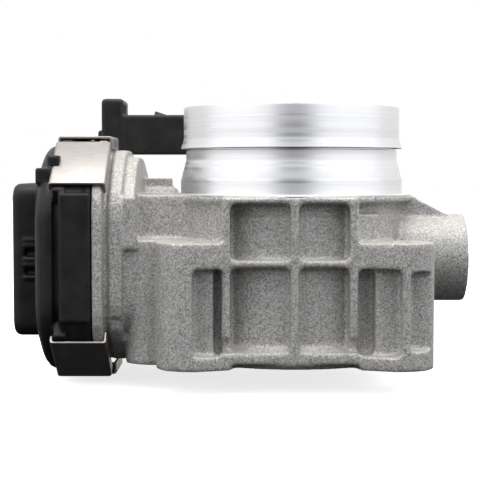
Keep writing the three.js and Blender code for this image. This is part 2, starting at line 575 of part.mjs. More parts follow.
function throttleHousing() {
  const lugs = [0, 1, 2, 3].map(lug);
  const rearPanel = ribPanel().rotate([0, 0, 180]);
  const solidBody = join(turnedBody(), ...lugs, endBoss(), gearPan(), casePedestal());
  const pocketTop = LUG_HEIGHT - LUG_CAP;
  const shallow = LUG_RADIUS / 2 - 0.3;
  const deep = LUG_RADIUS - 1;
  const outerPocket = PANEL_RIGHT + POCKET_RIGHT_WIDTH + POCKET_RIB;
  const outerEnd = BOLT_OFFSET + LUG_RADIUS - POCKET_OUTER_WALL;
  const pockets = [
    lugPocket(PANEL_LEFT - POCKET_LEFT_WIDTH, PANEL_LEFT, shallow, LUG_FLOOR, pocketTop),
    lugPocket(PANEL_LEFT - POCKET_LEFT_DEEP_WIDTH, PANEL_LEFT, deep, LUG_FLOOR, pocketTop),
    lugPocket(PANEL_RIGHT, PANEL_RIGHT + POCKET_RIGHT_WIDTH, shallow, LUG_FLOOR, pocketTop),
    lugPocket(PANEL_RIGHT, PANEL_RIGHT + POCKET_RIGHT_DEEP_WIDTH, deep, LUG_FLOOR, pocketTop),
    lugPocket(outerPocket, outerEnd, shallow, LUG_FLOOR + 2, pocketTop - 1),
  ];
  // Under each side rib a notch joins the window to the pocket beside it.
  const notches = [PANEL_LEFT, PANEL_RIGHT - PANEL_RIB].map((left) => {
    const right = left + PANEL_RIB;
    const shape = roundedRectangle(left - 3, right + 3, PANEL_SILL, PANEL_SILL + PANEL_NOTCH, 2);
    return alongY(shape, -PANEL_FRONT - 5, -PANEL_FRONT + PANEL_NOTCH_DEPTH);
  });
  // The windows have to stay open to the barrel, so the lugs are trimmed off the panels first.
  const clearFront = -PANEL_FRONT - LUG_RADIUS;
  const clear = box(PANEL_LEFT, PANEL_RIGHT, clearFront, -BARREL_RADIUS / 2, FOOT_HEIGHT, LUG_HEIGHT + 1);
  const lugTrim = cut(clear, turnedBody());
  const trimmed = cut(solidBody, lugTrim);
  const panels = join(trimmed, ribPanel(), rearPanel, shoulders());
  const lipEdge = BORE_RADIUS + LIP_REACH;
  const far = 2 * END_BOSS_X;
  const neckSpace = cut(
    rodZ(END_BOSS_X + 10, BODY_HEIGHT, NECK_TOP + 1, 0, 0, FINE_SIDES),
    box(-far, 2 - lipEdge, -far, far, 0, NECK_TOP + 2),
    turnedBody(),
  );
  const pan = PAN_DEPTH + 1;
  const hollowed = cut(
    panels,
    ...pockets,
    ...notches,
    neckSpace,
    rodZ(BORE_RADIUS, -1, NECK_TOP + 1, 0, 0, FINE_SIDES),
    caseSlab(PAN_WALL_INSET, PAN_FACE_X - 1, PAN_FACE_X - 1 + pan),
    rodX(MOTOR_BORE_RADIUS, PAN_FLOOR_X - 1, MOTOR_RIGHT_X + GAP + 1, MOTOR_Y, MOTOR_Z, 40),
  );
  const idlerBoss = join(
    rodX(5, SECTOR_RIGHT_X + IDLER_BOSS_GAP, PAN_FLOOR_X + 1, IDLER_Y, IDLER_Z),
    rodX(6.5, PAN_FLOOR_X + 1, PAN_BACK_X + 4, IDLER_Y, IDLER_Z),
  );
  const boltHoles = [0, 1, 2, 3].map((turns) => {
    const angle = (turns * Math.PI) / 2 + Math.PI / 4;
    const reach = BOLT_OFFSET * Math.SQRT2;
    const x = reach * Math.cos(angle);
    const y = reach * Math.sin(angle);
    return rodZ(BOLT_HOLE_RADIUS, -1, LUG_HEIGHT + 1, x, y, SMALL_SIDES);
  });
  const screwHoles = MOTOR_SCREW_ANGLES.map((degrees) => {
    const { y, z } = onMotorCircle(MOTOR_SCREW_CIRCLE, degrees);
    return rodX(MOTOR_SCREW_RADIUS + GAP, PAN_FLOOR_X - 1, PAN_FLOOR_X + 3, y, z, SMALL_SIDES);
  });
  const bearingEnd = PAN_FLOOR_X + 2 + GEAR_BEARING_WIDTH;
  const endSeat = END_BOSS_X - PLUG_THICKNESS - 1.5 - END_BEARING_WIDTH - GAP;
  return cut(
    join(hollowed, idlerBoss),
    ...boltHoles,
    ...screwHoles,
    rodX(IDLER_PIN_RADIUS + GAP, PAN_FACE_X - 1, PAN_BACK_X + 2, IDLER_Y, IDLER_Z, SMALL_SIDES),
    rodX(SHAFT_RADIUS + 0.4, PAN_FACE_X, END_BOSS_X + 1, 0, SHAFT_HEIGHT),
    rodX(GEAR_BEARING_RADIUS + GAP, PAN_FACE_X, bearingEnd + GAP, 0, SHAFT_HEIGHT),
    rodX(SEAL_RADIUS + GAP, PAN_FACE_X, bearingEnd + SEAL_WIDTH + 3 * GAP, 0, SHAFT_HEIGHT),
    rodX(END_BEARING_RADIUS + GAP, endSeat, END_BOSS_X + 1, 0, SHAFT_HEIGHT),
  );
}

// A point on a circle round the motor axis.
function onMotorCircle(radius, degrees) {
  const angle = THREE.MathUtils.degToRad(degrees);
  return { y: MOTOR_Y + radius * Math.cos(angle), z: MOTOR_Z + radius * Math.sin(angle) };
}

addPart("throttle_housing", throttleHousing(), castAluminium);

// ---------------------------------------------------------------- shaft, plate, bearings

// Turns a solid by the rest opening about the shaft axis.
function atRest(whole) {
  const lowered = whole.translate([0, 0, -SHAFT_HEIGHT]);
  return lowered.rotate([REST_OPENING, 0, 0]).translate([0, 0, SHAFT_HEIGHT]);
}

const shaftRightX = END_BOSS_X - PLUG_THICKNESS - 1.8;
const slotHalf = PLATE_THICKNESS / 2 + GAP;
const plateRadius = BORE_RADIUS - PLATE_GAP;
const screwTop = SHAFT_HEIGHT + SHAFT_RADIUS - 0.6;
const screwPlaces = [-PLATE_SCREW_SPACING / 2, PLATE_SCREW_SPACING / 2];

function throttleShaft() {
  const slot = BORE_RADIUS - 0.1;
  const holes = screwPlaces.map((x) =>
    rodZ(PLATE_SCREW_RADIUS + GAP, SHAFT_HEIGHT - SHAFT_RADIUS - 1, SHAFT_HEIGHT + 10, x, 0, SMALL_SIDES),
  );
  const seats = screwPlaces.map((x) =>
    rodZ(PLATE_SCREW_HEAD_RADIUS + GAP, screwTop, SHAFT_HEIGHT + 10, x, 0, SMALL_SIDES),
  );
  return cut(
    rodX(SHAFT_RADIUS, SHAFT_LEFT_X, shaftRightX, 0, SHAFT_HEIGHT),
    box(-slot, slot, -9, 9, SHAFT_HEIGHT - slotHalf, SHAFT_HEIGHT + slotHalf),
    ...holes,
    ...seats,
  );
}

function throttlePlate() {
  const half = PLATE_THICKNESS / 2;
  const disc = turnedZ([[0, -half], [plateRadius, -half], [plateRadius, half], [0, half]], FINE_SIDES);
  const holes = screwPlaces.map((x) => rodZ(PLATE_SCREW_RADIUS + GAP, -5, 5, x, 0, SMALL_SIDES));
  return cut(disc, ...holes).translate([0, 0, SHAFT_HEIGHT]);
}

// A pan-head screw with a cross recess, head up.
function plateScrew(x) {
  const profile = [
    [0, SHAFT_HEIGHT - SHAFT_RADIUS],
    [PLATE_SCREW_RADIUS, SHAFT_HEIGHT - SHAFT_RADIUS],
    [PLATE_SCREW_RADIUS, screwTop + GAP],
    [PLATE_SCREW_HEAD_RADIUS, screwTop + GAP],
    [PLATE_SCREW_HEAD_RADIUS, screwTop + PLATE_SCREW_HEAD - 0.5],
    [PLATE_SCREW_HEAD_RADIUS - 0.9, screwTop + PLATE_SCREW_HEAD],
    [0, screwTop + PLATE_SCREW_HEAD],
  ];
  const low = screwTop + PLATE_SCREW_HEAD - 1.1;
  const recess = join(box(-2, 2, -0.4, 0.4, low, low + 3), box(-0.4, 0.4, -2, 2, low, low + 3));
  return cut(turnedZ(profile, SMALL_SIDES), recess).translate([x, 0, 0]);
}

addPart("throttle_shaft", atRest(throttleShaft()), turnedSteel);
addPart("throttle_plate", atRest(throttlePlate()), brass);
screwPlaces.forEach((x, i) => addPart(`plate_screw_${i + 1}`, atRest(plateScrew(x)), turnedSteel));

// A ball or needle bearing with a shallow groove in each face between its rings.
function bearing(outer, x0, x1) {
  const inner = SHAFT_RADIUS + GAP;
  const middle = (outer + inner) / 2;
  const groove = (outer - inner) / 6;
  const ring = tubeX(outer, inner, x0, x1, 0, SHAFT_HEIGHT);
  const trench = tubeX(middle + groove, middle - groove, x0 - 1, x0 + 0.6, 0, SHAFT_HEIGHT);
  return cut(ring, trench);
}

const gearBearingX = PAN_FLOOR_X + 2;
const sealX = gearBearingX + GEAR_BEARING_WIDTH + 2 * GAP;
const plugX = END_BOSS_X - PLUG_THICKNESS - 1;
const endBearingX = plugX - 0.5 - END_BEARING_WIDTH;
const gearBearing = bearing(GEAR_BEARING_RADIUS, gearBearingX, gearBearingX + GEAR_BEARING_WIDTH);
const endBearing = bearing(END_BEARING_RADIUS, endBearingX, endBearingX + END_BEARING_WIDTH);
addPart("shaft_ball_bearing", gearBearing, bearingSteel);
const seal = tubeX(SEAL_RADIUS, SHAFT_RADIUS + GAP, sealX, sealX + SEAL_WIDTH, 0, SHAFT_HEIGHT);
addPart("shaft_seal", seal, rubber);
addPart("shaft_needle_bearing", endBearing, bearingSteel);
addPart(
  "shaft_end_plug",
  turnedX(
    [
      [0, plugX],
      [END_BEARING_RADIUS - 2, plugX],
      [END_BEARING_RADIUS, plugX + 0.6],
      [END_BEARING_RADIUS, plugX + PLUG_THICKNESS],
      [END_BEARING_RADIUS - 1.2, plugX + PLUG_THICKNESS],
      [END_BEARING_RADIUS - 3, plugX + 1],
      [0, plugX + 1],
    ],
    0,
    SHAFT_HEIGHT,
  ),
  castAluminium,
);

// ---------------------------------------------------------------- gears

// The outline of an involute spur gear with short teeth, one tooth centred on `phase`.
function gearShape(teeth, module, phase, y, z) {
  const pitch = (teeth * module) / 2;
  const base = pitch * Math.cos(PRESSURE_ANGLE);
  const involute = (angle) => Math.tan(angle) - angle;
  const halfAtPitch = Math.PI / (2 * teeth) - TOOTH_SLACK / (2 * pitch);
  const tip = pitch + 0.72 * module;
  const root = pitch - 1.1 * module;
  const halfAt = (radius) => {
    const flankRadius = Math.max(radius, base);
    const relief = radius < base ? ROOT_RELIEF / radius : 0;
    return halfAtPitch - relief + involute(PRESSURE_ANGLE) - involute(Math.acos(base / flankRadius));
  };
  const flank = teeth > 30 ? [root, pitch, tip] : [root, Math.max(base, root), pitch, tip];
  const point = (radius, angle) =>
    new THREE.Vector2(y + radius * Math.cos(angle), z + radius * Math.sin(angle));
  const points = [];
  for (let tooth = 0; tooth < teeth; tooth += 1) {
    const centre = phase + (2 * Math.PI * tooth) / teeth;
    flank.forEach((radius) => points.push(point(radius, centre - halfAt(radius))));
    [...flank].reverse().forEach((radius) => points.push(point(radius, centre + halfAt(radius))));
  }
  return new THREE.Shape(points);
}

function sectorGear() {
  const whole = alongX(
    gearShape(SECTOR_TEETH, SECTOR_MODULE, IDLER_DIRECTION, 0, SHAFT_HEIGHT),
    SECTOR_LEFT_X,
    SECTOR_RIGHT_X,
  );
  const wedge = new THREE.Shape();
  const steps = 4;
  wedge.moveTo(0, SHAFT_HEIGHT);
  for (let step = 0; step <= steps; step += 1) {
    const angle = SECTOR_FROM + ((SECTOR_TO - SECTOR_FROM) * step) / steps;
    wedge.lineTo(SECTOR_TEETH * Math.cos(angle), SHAFT_HEIGHT + SECTOR_TEETH * Math.sin(angle));
  }
  wedge.closePath();
  const sector = whole.intersect(alongX(wedge, SECTOR_LEFT_X - 1, SECTOR_RIGHT_X + 1));
  const body = join(
    sector,
    rodX(SECTOR_BODY_RADIUS, SECTOR_LEFT_X, SECTOR_RIGHT_X, 0, SHAFT_HEIGHT),
    rodX(SECTOR_HUB_RADIUS, IDLER_LEFT_X - MAGNET_THICKNESS, SECTOR_LEFT_X + 1, 0, SHAFT_HEIGHT),
    rodX(SECTOR_HUB_RADIUS + 1, SECTOR_RIGHT_X - 1, PAN_FLOOR_X - 1.2, 0, SHAFT_HEIGHT),
  );
  return cut(
    body,
    rodX(SHAFT_RADIUS + GAP, SHAFT_LEFT_X - GAP, 0, 0, SHAFT_HEIGHT),
    rodX(MAGNET_RADIUS + GAP, IDLER_LEFT_X - MAGNET_THICKNESS - 1, IDLER_LEFT_X, 0, SHAFT_HEIGHT),
  );
}

function idlerGear() {
  const pinionPhase = IDLER_DIRECTION + Math.PI + Math.PI / IDLER_PINION_TEETH;
  const wheel = gearShape(IDLER_TEETH, IDLER_MODULE, MOTOR_DIRECTION, IDLER_Y, IDLER_Z);
  const pinion = gearShape(IDLER_PINION_TEETH, SECTOR_MODULE, pinionPhase, IDLER_Y, IDLER_Z);
  const web = tubeX(19, 9.5, IDLER_RIGHT_X - 1.2, IDLER_RIGHT_X + 1, IDLER_Y, IDLER_Z);
  return cut(
    join(
      alongX(wheel, IDLER_LEFT_X, IDLER_RIGHT_X),
      alongX(pinion, IDLER_RIGHT_X - 1, SECTOR_RIGHT_X + 0.3),
    ),
    web,
    rodX(IDLER_PIN_RADIUS + GAP, IDLER_LEFT_X - 1, 0, IDLER_Y, IDLER_Z, SMALL_SIDES),
  );
}

function motorPinion() {
  const phase = MOTOR_DIRECTION + Math.PI + Math.PI / MOTOR_PINION_TEETH;
  const teeth = gearShape(MOTOR_PINION_TEETH, IDLER_MODULE, phase, MOTOR_Y, MOTOR_Z);
  return cut(
    alongX(teeth, IDLER_LEFT_X - 0.5, IDLER_RIGHT_X + 0.5),
    rodX(MOTOR_SHAFT_RADIUS + GAP, IDLER_LEFT_X - 2, 0, MOTOR_Y, MOTOR_Z, SMALL_SIDES),
  );
}

addPart("sector_gear", sectorGear(), paleNylon);
addPart("idler_gear", idlerGear(), paleNylon);
addPart("motor_pinion", motorPinion(), brass);
const idlerPinLeft = COVER_INSIDE_X + 1;
addPart(
  "idler_pin",
  rodX(IDLER_PIN_RADIUS, idlerPinLeft, PAN_BACK_X + 1.6, IDLER_Y, IDLER_Z, SMALL_SIDES),
  turnedSteel,
);
const magnetLeft = IDLER_LEFT_X - MAGNET_THICKNESS;
addPart(
  "sensor_magnet",
  atRest(rodX(MAGNET_RADIUS, magnetLeft + 0.3, IDLER_LEFT_X - GAP, 0, SHAFT_HEIGHT, SMALL_SIDES)),
  magnetGrey,
);

// ---------------------------------------------------------------- return spring

// A coil along X whose two ends flare outwards into tangs.
class SpringCurve extends THREE.Curve {
  getPoint(t) {
    const angle = 2 * Math.PI * SPRING_TURNS * t;
    const end = Math.max(0, 0.05 - Math.min(t, 1 - t)) / 0.05;
    const radius = SPRING_RADIUS + 4 * end * end;
    const room = SPRING_SPACE - 3 * GAP - 2 * SPRING_WIRE_RADIUS;
    const x = PAN_FLOOR_X - GAP - SPRING_WIRE_RADIUS - room * t;
    return new THREE.Vector3(x, radius * Math.cos(angle), SHAFT_HEIGHT + radius * Math.sin(angle));
  }
}

function returnSpring() {
  const section = new THREE.Shape();
  section.absarc(0, 0, SPRING_WIRE_RADIUS, 0, 2 * Math.PI, false);
  const steps = SPRING_TURNS * 16;
  const options = { steps, extrudePath: new SpringCurve(), bevelEnabled: false, curveSegments: 3 };
  return solid(new THREE.ExtrudeGeometry(section, options));
}

addPart("return_spring", returnSpring(), springSteel);
const sleeveOuter = SPRING_RADIUS - SPRING_WIRE_RADIUS - GAP;
const sleeveLeft = SECTOR_RIGHT_X + 2 * GAP;
addPart(
  "spring_sleeve",
  tubeX(sleeveOuter, sleeveOuter - SLEEVE_WALL, sleeveLeft, PAN_FLOOR_X - GAP, 0, SHAFT_HEIGHT),
  blackPlastic,
);

// ---------------------------------------------------------------- motor

function motorCan() {
  const left = PAN_FLOOR_X + 0.5;
  const inner = MOTOR_RADIUS - MOTOR_WALL;
  return turnedX(
    [
      [inner, left],
      [MOTOR_RADIUS, left],
      [MOTOR_RADIUS, MOTOR_RIGHT_X - 1],
      [MOTOR_RADIUS - 1, MOTOR_RIGHT_X],
      [0, MOTOR_RIGHT_X],
      [0, MOTOR_RIGHT_X - MOTOR_WALL],
      [inner, MOTOR_RIGHT_X - MOTOR_WALL],
      [inner, left],
    ],
    MOTOR_Y,
    MOTOR_Z,
    40,
  );
}

const motorInner = MOTOR_RADIUS - MOTOR_WALL - GAP;
const capLeft = PAN_FLOOR_X + 0.5;
const capRight = capLeft + 4.5;
const motorBushLeft = MOTOR_RIGHT_X - MOTOR_WALL - GAP - 4;
addPart("motor_can", motorCan(), springSteel);
addPart(
  "motor_end_cap",
  tubeX(motorInner, MOTOR_SHAFT_RADIUS + GAP, capLeft, capRight, MOTOR_Y, MOTOR_Z, SMALL_SIDES),
  blackPlastic,
);
addPart(
  "motor_rear_bush",
  tubeX(4.5, MOTOR_SHAFT_RADIUS + GAP, motorBushLeft, motorBushLeft + 4, MOTOR_Y, MOTOR_Z, SMALL_SIDES),
  copper,
);
addPart(
  "motor_wave_washer",
  tubeX(12, 8.5, MOTOR_RIGHT_X + GAP, MOTOR_RIGHT_X + GAP + 0.6, MOTOR_Y, MOTOR_Z, 24),
  springSteel,
);
addPart(
  "motor_shaft",
  rodX(MOTOR_SHAFT_RADIUS, IDLER_LEFT_X - 1, motorBushLeft + 3.5, MOTOR_Y, MOTOR_Z, SMALL_SIDES),
  turnedSteel,
);

function armature() {
  const left = capRight + 9;
  const right = motorBushLeft - 3;
  const slots = [];
  for (let slot = 0; slot < ARMATURE_SLOTS; slot += 1) {
    const opening = box(left - 1, right + 1, -0.9, 0.9, 4, ARMATURE_RADIUS + 2);
    const turned = opening.rotate([(360 / ARMATURE_SLOTS) * slot, 0, 0]);
    slots.push(turned.translate([0, MOTOR_Y, MOTOR_Z]));
  }
  const core = tubeX(ARMATURE_RADIUS, MOTOR_SHAFT_RADIUS + GAP, left, right, MOTOR_Y, MOTOR_Z, 30);
  return cut(core, ...slots);
}

addPart("motor_armature", armature(), copper);
const commutatorBore = MOTOR_SHAFT_RADIUS + GAP;
addPart(
  "motor_commutator",
  tubeX(COMMUTATOR_RADIUS, commutatorBore, capRight + 1, capRight + 8, MOTOR_Y, MOTOR_Z, SMALL_SIDES),
  copper,
);

// A magnet shell: part of a ring between two radii, centred on an angle.
function motorMagnet(centre) {
  const half = THREE.MathUtils.degToRad(62);
  const middle = THREE.MathUtils.degToRad(centre);
  const shape = new THREE.Shape();
  shape.absarc(MOTOR_Y, MOTOR_Z, motorInner, middle - half, middle + half, false);
  shape.absarc(MOTOR_Y, MOTOR_Z, ARMATURE_RADIUS + 0.7, middle + half, middle - half, true);
  shape.closePath();
  return alongX(shape, capRight + 8, motorBushLeft - 2, 12);
}

[0, 180].forEach((centre, i) => {
  addPart(`motor_magnet_${i + 1}`, motorMagnet(centre), magnetGrey);
  const side = centre === 0 ? 1 : -1;
  const near = MOTOR_Y + side * (COMMUTATOR_RADIUS + GAP);
  const far = MOTOR_Y + side * (COMMUTATOR_RADIUS + 6);
  const [front, back] = [Math.min(near, far), Math.max(near, far)];
  const brush = box(capRight + 2, capRight + 6, front, back, MOTOR_Z - 2, MOTOR_Z + 2);
  addPart(`motor_brush_${i + 1}`, brush, carbon);
});

function motorPlate() {
  const left = PAN_FLOOR_X - GAP - MOTOR_PLATE_THICKNESS;
  const right = PAN_FLOOR_X - GAP;
  const ears = MOTOR_SCREW_ANGLES.map((degrees) => {
    const { y, z } = onMotorCircle(MOTOR_SCREW_CIRCLE, degrees);
    return rodX(4.6, left, right, y, z, 24);
  });
  const holes = MOTOR_SCREW_ANGLES.map((degrees) => {
    const { y, z } = onMotorCircle(MOTOR_SCREW_CIRCLE, degrees);
    return rodX(MOTOR_SCREW_RADIUS + GAP, left - 1, right + 1, y, z, SMALL_SIDES);
  });
  const disc = rodX(MOTOR_RADIUS + 1.2, left, right, MOTOR_Y, MOTOR_Z, 36);
  return cut(join(disc, ...ears), rodX(12, left - 1, right + 1, MOTOR_Y, MOTOR_Z, 28), ...holes);
}

// A screw along +X with its head on the motor plate.
function motorScrew({ y, z }) {
  const under = PAN_FLOOR_X - 2 * GAP - MOTOR_PLATE_THICKNESS;
  const whole = join(
    rodX(3.6, under - 2.4, under, y, z, SMALL_SIDES),
    rodX(MOTOR_SCREW_RADIUS, under - 1, PAN_FLOOR_X + 2.6, y, z, SMALL_SIDES),
  );
  const slots = [0, 90].map((degrees) =>
    box(under - 4, under - 1.3, -2.2, 2.2, -0.4, 0.4).rotate([degrees, 0, 0]).translate([0, y, z]),
  );
  return cut(whole, ...slots);
}

addPart("motor_plate", motorPlate(), springSteel);
MOTOR_SCREW_ANGLES.forEach((degrees, i) => {
  addPart(`motor_screw_${i + 1}`, motorScrew(onMotorCircle(MOTOR_SCREW_CIRCLE, degrees)), turnedSteel);
});
TERMINAL_ANGLES.forEach((degrees, i) => {
  const { y, z } = onMotorCircle(TERMINAL_CIRCLE, degrees);
  const blade = box(COVER_INSIDE_X + GAP, capLeft - GAP, y - 0.4, y + 0.4, z - 2, z + 2);
  addPart(`motor_terminal_${i + 1}`, blade, tinned);
});

// ---------------------------------------------------------------- cover and connector

const socketBack = SOCKET_END - SOCKET_DEPTH;
const socketMiddleY = SOCKET_FRONT + SOCKET_WIDTH / 2;
const socketMiddleZ = SOCKET_BOTTOM + SOCKET_HEIGHT / 2;

// Where the six pins stand: three columns in two rows.
const pinPlaces = [-1, 1].flatMap((row) =>
  [-1, 0, 1].map((column) => ({
    y: socketMiddleY + column * PIN_PITCH,
    z: socketMiddleZ + (row * PIN_ROW_PITCH) / 2,
  })),
);

function connectorPin({ y, z }, slack) {
  const halfWidth = PIN_WIDTH / 2 + slack;
  const halfThickness = PIN_THICKNESS / 2 + slack;
  const left = TOWER_LEFT + 3 - slack;
  const right = TOWER_LEFT + 3 + PIN_LENGTH + slack;
  return box(left, right, y - halfWidth, y + halfWidth, z - halfThickness, z + halfThickness);
}

function connector() {
  const front = SOCKET_FRONT;
  const back = SOCKET_FRONT + SOCKET_WIDTH;
  const towerShape = roundedRectangle(TOWER_LEFT, TOWER_RIGHT, SOCKET_BOTTOM, TOWER_TOP, TOWER_ROUND);
  const tower = alongY(towerShape, front, back, 4);
  const foot = box(TOWER_LEFT, COVER_FACE_X, front, back, CASE_TOP - 32, SOCKET_BOTTOM + 4);
  const top = SOCKET_BOTTOM + SOCKET_HEIGHT;
  const shroudShape = new THREE.Shape();
  shroudShape.moveTo(front, SOCKET_BOTTOM);
  shroudShape.lineTo(back, SOCKET_BOTTOM);
  shroudShape.lineTo(back, top - SOCKET_CHAMFER);
  shroudShape.lineTo(back - SOCKET_CHAMFER, top);
  shroudShape.lineTo(front + SOCKET_CHAMFER, top);
  shroudShape.lineTo(front, top - SOCKET_CHAMFER);
  shroudShape.closePath();
  const shroud = alongX(shroudShape, TOWER_RIGHT - 1, SOCKET_END);
  const ramp = new THREE.Shape();
  const latchLeft = SOCKET_END - LATCH_BACK;
  const latchRight = latchLeft + LATCH_LENGTH;
  ramp.moveTo(latchLeft, top - 0.5);
  ramp.lineTo(latchRight, top - 0.5);
  ramp.lineTo(latchRight, top);
  ramp.lineTo(latchLeft + 0.4, top + LATCH_HEIGHT);
  ramp.lineTo(latchLeft, top + LATCH_HEIGHT);
  ramp.closePath();
  const latch = alongY(ramp, socketMiddleY - LATCH_HALF_WIDTH, socketMiddleY + LATCH_HALF_WIDTH);
  const finFront = front + SOCKET_WALL;
  const finRight = TOWER_RIGHT + 1;
  const fin = box(TOWER_RIGHT - 1, finRight, finFront, finFront + FIN_THICKNESS, top - 1, top + FIN_HEIGHT);
  const hollow = roundedRectangle(
    front + SOCKET_WALL,
    back - SOCKET_WALL,
    SOCKET_BOTTOM + SOCKET_WALL,
    top - SOCKET_WALL,
    1.5,
  );
  return cut(
    join(tower, foot, shroud, latch, fin),
    alongX(hollow, socketBack, SOCKET_END + 1),
    ...pinPlaces.map((place) => connectorPin(place, GAP)),
  );
}

// The domed end of the cover: an outline with a deep rounded edge.
function coverDome() {
  const options = {
    depth: 1,
    bevelEnabled: true,
    bevelThickness: COVER_DOME_DEPTH,
    bevelSize: COVER_DOME_ROUND,
    bevelSegments: 5,
    curveSegments: 4,
  };
  const shape = caseOutline(COVER_DOME_INSET + COVER_DOME_ROUND);
  const geometry = new THREE.ExtrudeGeometry(shape, options);
  geometry.applyMatrix4(SIDEWAYS).translate(COVER_DOME_X + COVER_DOME_DEPTH, 0, 0);
  return solid(geometry);
}

// The raised block over the sensor, with its softened edges.
function sensorBlock() {
  const edge = SENSOR_BLOCK_EDGE;
  const half = SENSOR_BLOCK_HALF_WIDTH - edge;
  const tall = SENSOR_BLOCK_HALF_HEIGHT - edge;
  const shape = roundedRectangle(-half, half, SHAFT_HEIGHT - tall, SHAFT_HEIGHT + tall, SENSOR_BLOCK_ROUND);
  const options = {
    depth: SENSOR_BLOCK_DEPTH + 2 - 2 * edge,
    bevelEnabled: true,
    bevelThickness: edge,
    bevelSize: edge,
    bevelSegments: 2,
    curveSegments: 3,
  };
  const geometry = new THREE.ExtrudeGeometry(shape, options);
  geometry.applyMatrix4(SIDEWAYS).translate(COVER_BLOCK_X + edge, 0, 0);
  const front = -SENSOR_BLOCK_HALF_WIDTH;
  const slotLeft = COVER_BLOCK_X + 3 * edge;
  const slotRight = COVER_DOME_X + 0.5;
  const slots = SENSOR_SLOTS.map(([bottom, top]) => {
    const low = SHAFT_HEIGHT + bottom;
    return box(slotLeft, slotRight, front - 1, front + SENSOR_SLOT_DEPTH, low, SHAFT_HEIGHT + top);
  });
  return cut(solid(geometry), ...slots);
}

function gearCover() {
  const rim = caseSlab(0, COVER_RIM_X, COVER_FACE_X);
  const hollow = COVER_INSIDE_X + 4;
  const pinBoss = rodX(5.5, COVER_INSIDE_X - 1, COVER_INSIDE_X + 3.2, IDLER_Y, IDLER_Z, 24);
  const blockHollow = roundedRectangle(
    -SENSOR_BLOCK_HALF_WIDTH + 3.2,
    SENSOR_BLOCK_HALF_WIDTH - 3.2,
    SHAFT_HEIGHT - SENSOR_BLOCK_HALF_HEIGHT + 3,
    SHAFT_HEIGHT + SENSOR_BLOCK_HALF_HEIGHT - 3,
    3,
  );
  const shell = cut(
    join(rim, coverDome(), sensorBlock(), connector()),
    caseSlab(COVER_WALL_INSET, hollow, COVER_FACE_X + 1),
    caseSlab(COVER_DOME_INSET + COVER_DOME_ROUND, COVER_INSIDE_X, hollow + 1),
    alongX(blockHollow, COVER_BLOCK_X + COVER_SKIN, COVER_INSIDE_X + 1),
  );
  const sealTrench = cut(
    caseSlab(SEAL_INSET - GAP, COVER_FACE_X - COVER_SEAL_DEPTH, COVER_FACE_X + 1),
    caseSlab(SEAL_INSET + COVER_SEAL_WIDTH + GAP, COVER_FACE_X - COVER_SEAL_DEPTH - 1, COVER_FACE_X + 2),
  );
  return cut(
    join(shell, pinBoss),
    sealTrench,
    rodX(IDLER_PIN_RADIUS + GAP, idlerPinLeft - GAP, COVER_INSIDE_X + 6, IDLER_Y, IDLER_Z, SMALL_SIDES),
  );
}

addPart("gear_cover", gearCover(), blackPlastic);
pinPlaces.forEach((place, i) => addPart(`connector_pin_${i + 1}`, connectorPin(place, 0), tinned));
const coverSeal = cut(
  caseSlab(SEAL_INSET, COVER_FACE_X - COVER_SEAL_DEPTH + GAP, COVER_FACE_X),
  caseSlab(SEAL_INSET + COVER_SEAL_WIDTH, COVER_FACE_X - COVER_SEAL_DEPTH - 1, COVER_FACE_X + 1),
);
addPart("cover_seal", coverSeal, rubber);

const boardX = COVER_INSIDE_X - 3;
const boardHalfWidth = SENSOR_BLOCK_HALF_WIDTH - 4.2;
const boardHalfHeight = SENSOR_BLOCK_HALF_HEIGHT - 5;
const board = roundedRectangle(
  -boardHalfWidth,
  boardHalfWidth,
  SHAFT_HEIGHT - boardHalfHeight,
  SHAFT_HEIGHT + boardHalfHeight,
  1.5,
);
addPart("position_sensor_board", alongX(board, boardX - 1.6, boardX), boardGreen);
const chipX = boardX + GAP;
const chipTop = SHAFT_HEIGHT + CHIP_HALF;
const chip = box(chipX, chipX + CHIP_THICKNESS, -CHIP_HALF, CHIP_HALF, SHAFT_HEIGHT - CHIP_HALF, chipTop);
addPart("position_sensor_chip", chip, magnetGrey);

// ---------------------------------------------------------------- cover clips

// A bent spring clip over the joint, in the middle of one edge of the case outline.
function coverClip(edge) {
  const from = CASE_CORNERS[edge];
  const to = CASE_CORNERS[(edge + 1) % CASE_CORNERS.length];
  const along = to.clone().sub(from).normalize();
  const middle = from.clone().add(to).multiplyScalar(0.5);
  const left = COVER_RIM_X - GAP - CLIP_THICKNESS;
  const right = PAN_FACE_X + RIM_WIDTH + GAP + CLIP_THICKNESS;
  const out = GAP + CLIP_THICKNESS;
  const hook = -COVER_DOME_INSET + 2 * GAP;
  const bend = 1.2;
  const profile = new THREE.Shape();
  profile.moveTo(left, hook);
  profile.lineTo(left + CLIP_THICKNESS, hook);
  profile.lineTo(left + CLIP_THICKNESS, GAP);
  profile.lineTo(right - CLIP_THICKNESS, GAP);
  profile.lineTo(right - CLIP_THICKNESS, -CLIP_HOOK);
  profile.lineTo(right, -CLIP_HOOK);
  profile.lineTo(right, out - bend);
  profile.quadraticCurveTo(right, out, right - bend, out);
  profile.lineTo(left + bend, out);
  profile.quadraticCurveTo(left, out, left, out - bend);
  profile.closePath();
  const place = new THREE.Matrix4().makeBasis(
    new THREE.Vector3(1, 0, 0),
    new THREE.Vector3(0, along.y, -along.x),
    new THREE.Vector3(0, along.x, along.y),
  );
  place.setPosition(0, middle.x, middle.y);
  const geometry = extruded(profile, CLIP_LENGTH, 3).translate(0, 0, -CLIP_LENGTH / 2);
  return solid(geometry.applyMatrix4(place));
}

// Edges of the outline that carry a clip, from the front top corner round.
const CLIP_EDGES = [8, 1, 2, 3, 4, 7];
CLIP_EDGES.forEach((edge, i) => addPart(`cover_clip_${i + 1}`, coverClip(edge), springSteel));

export default group;
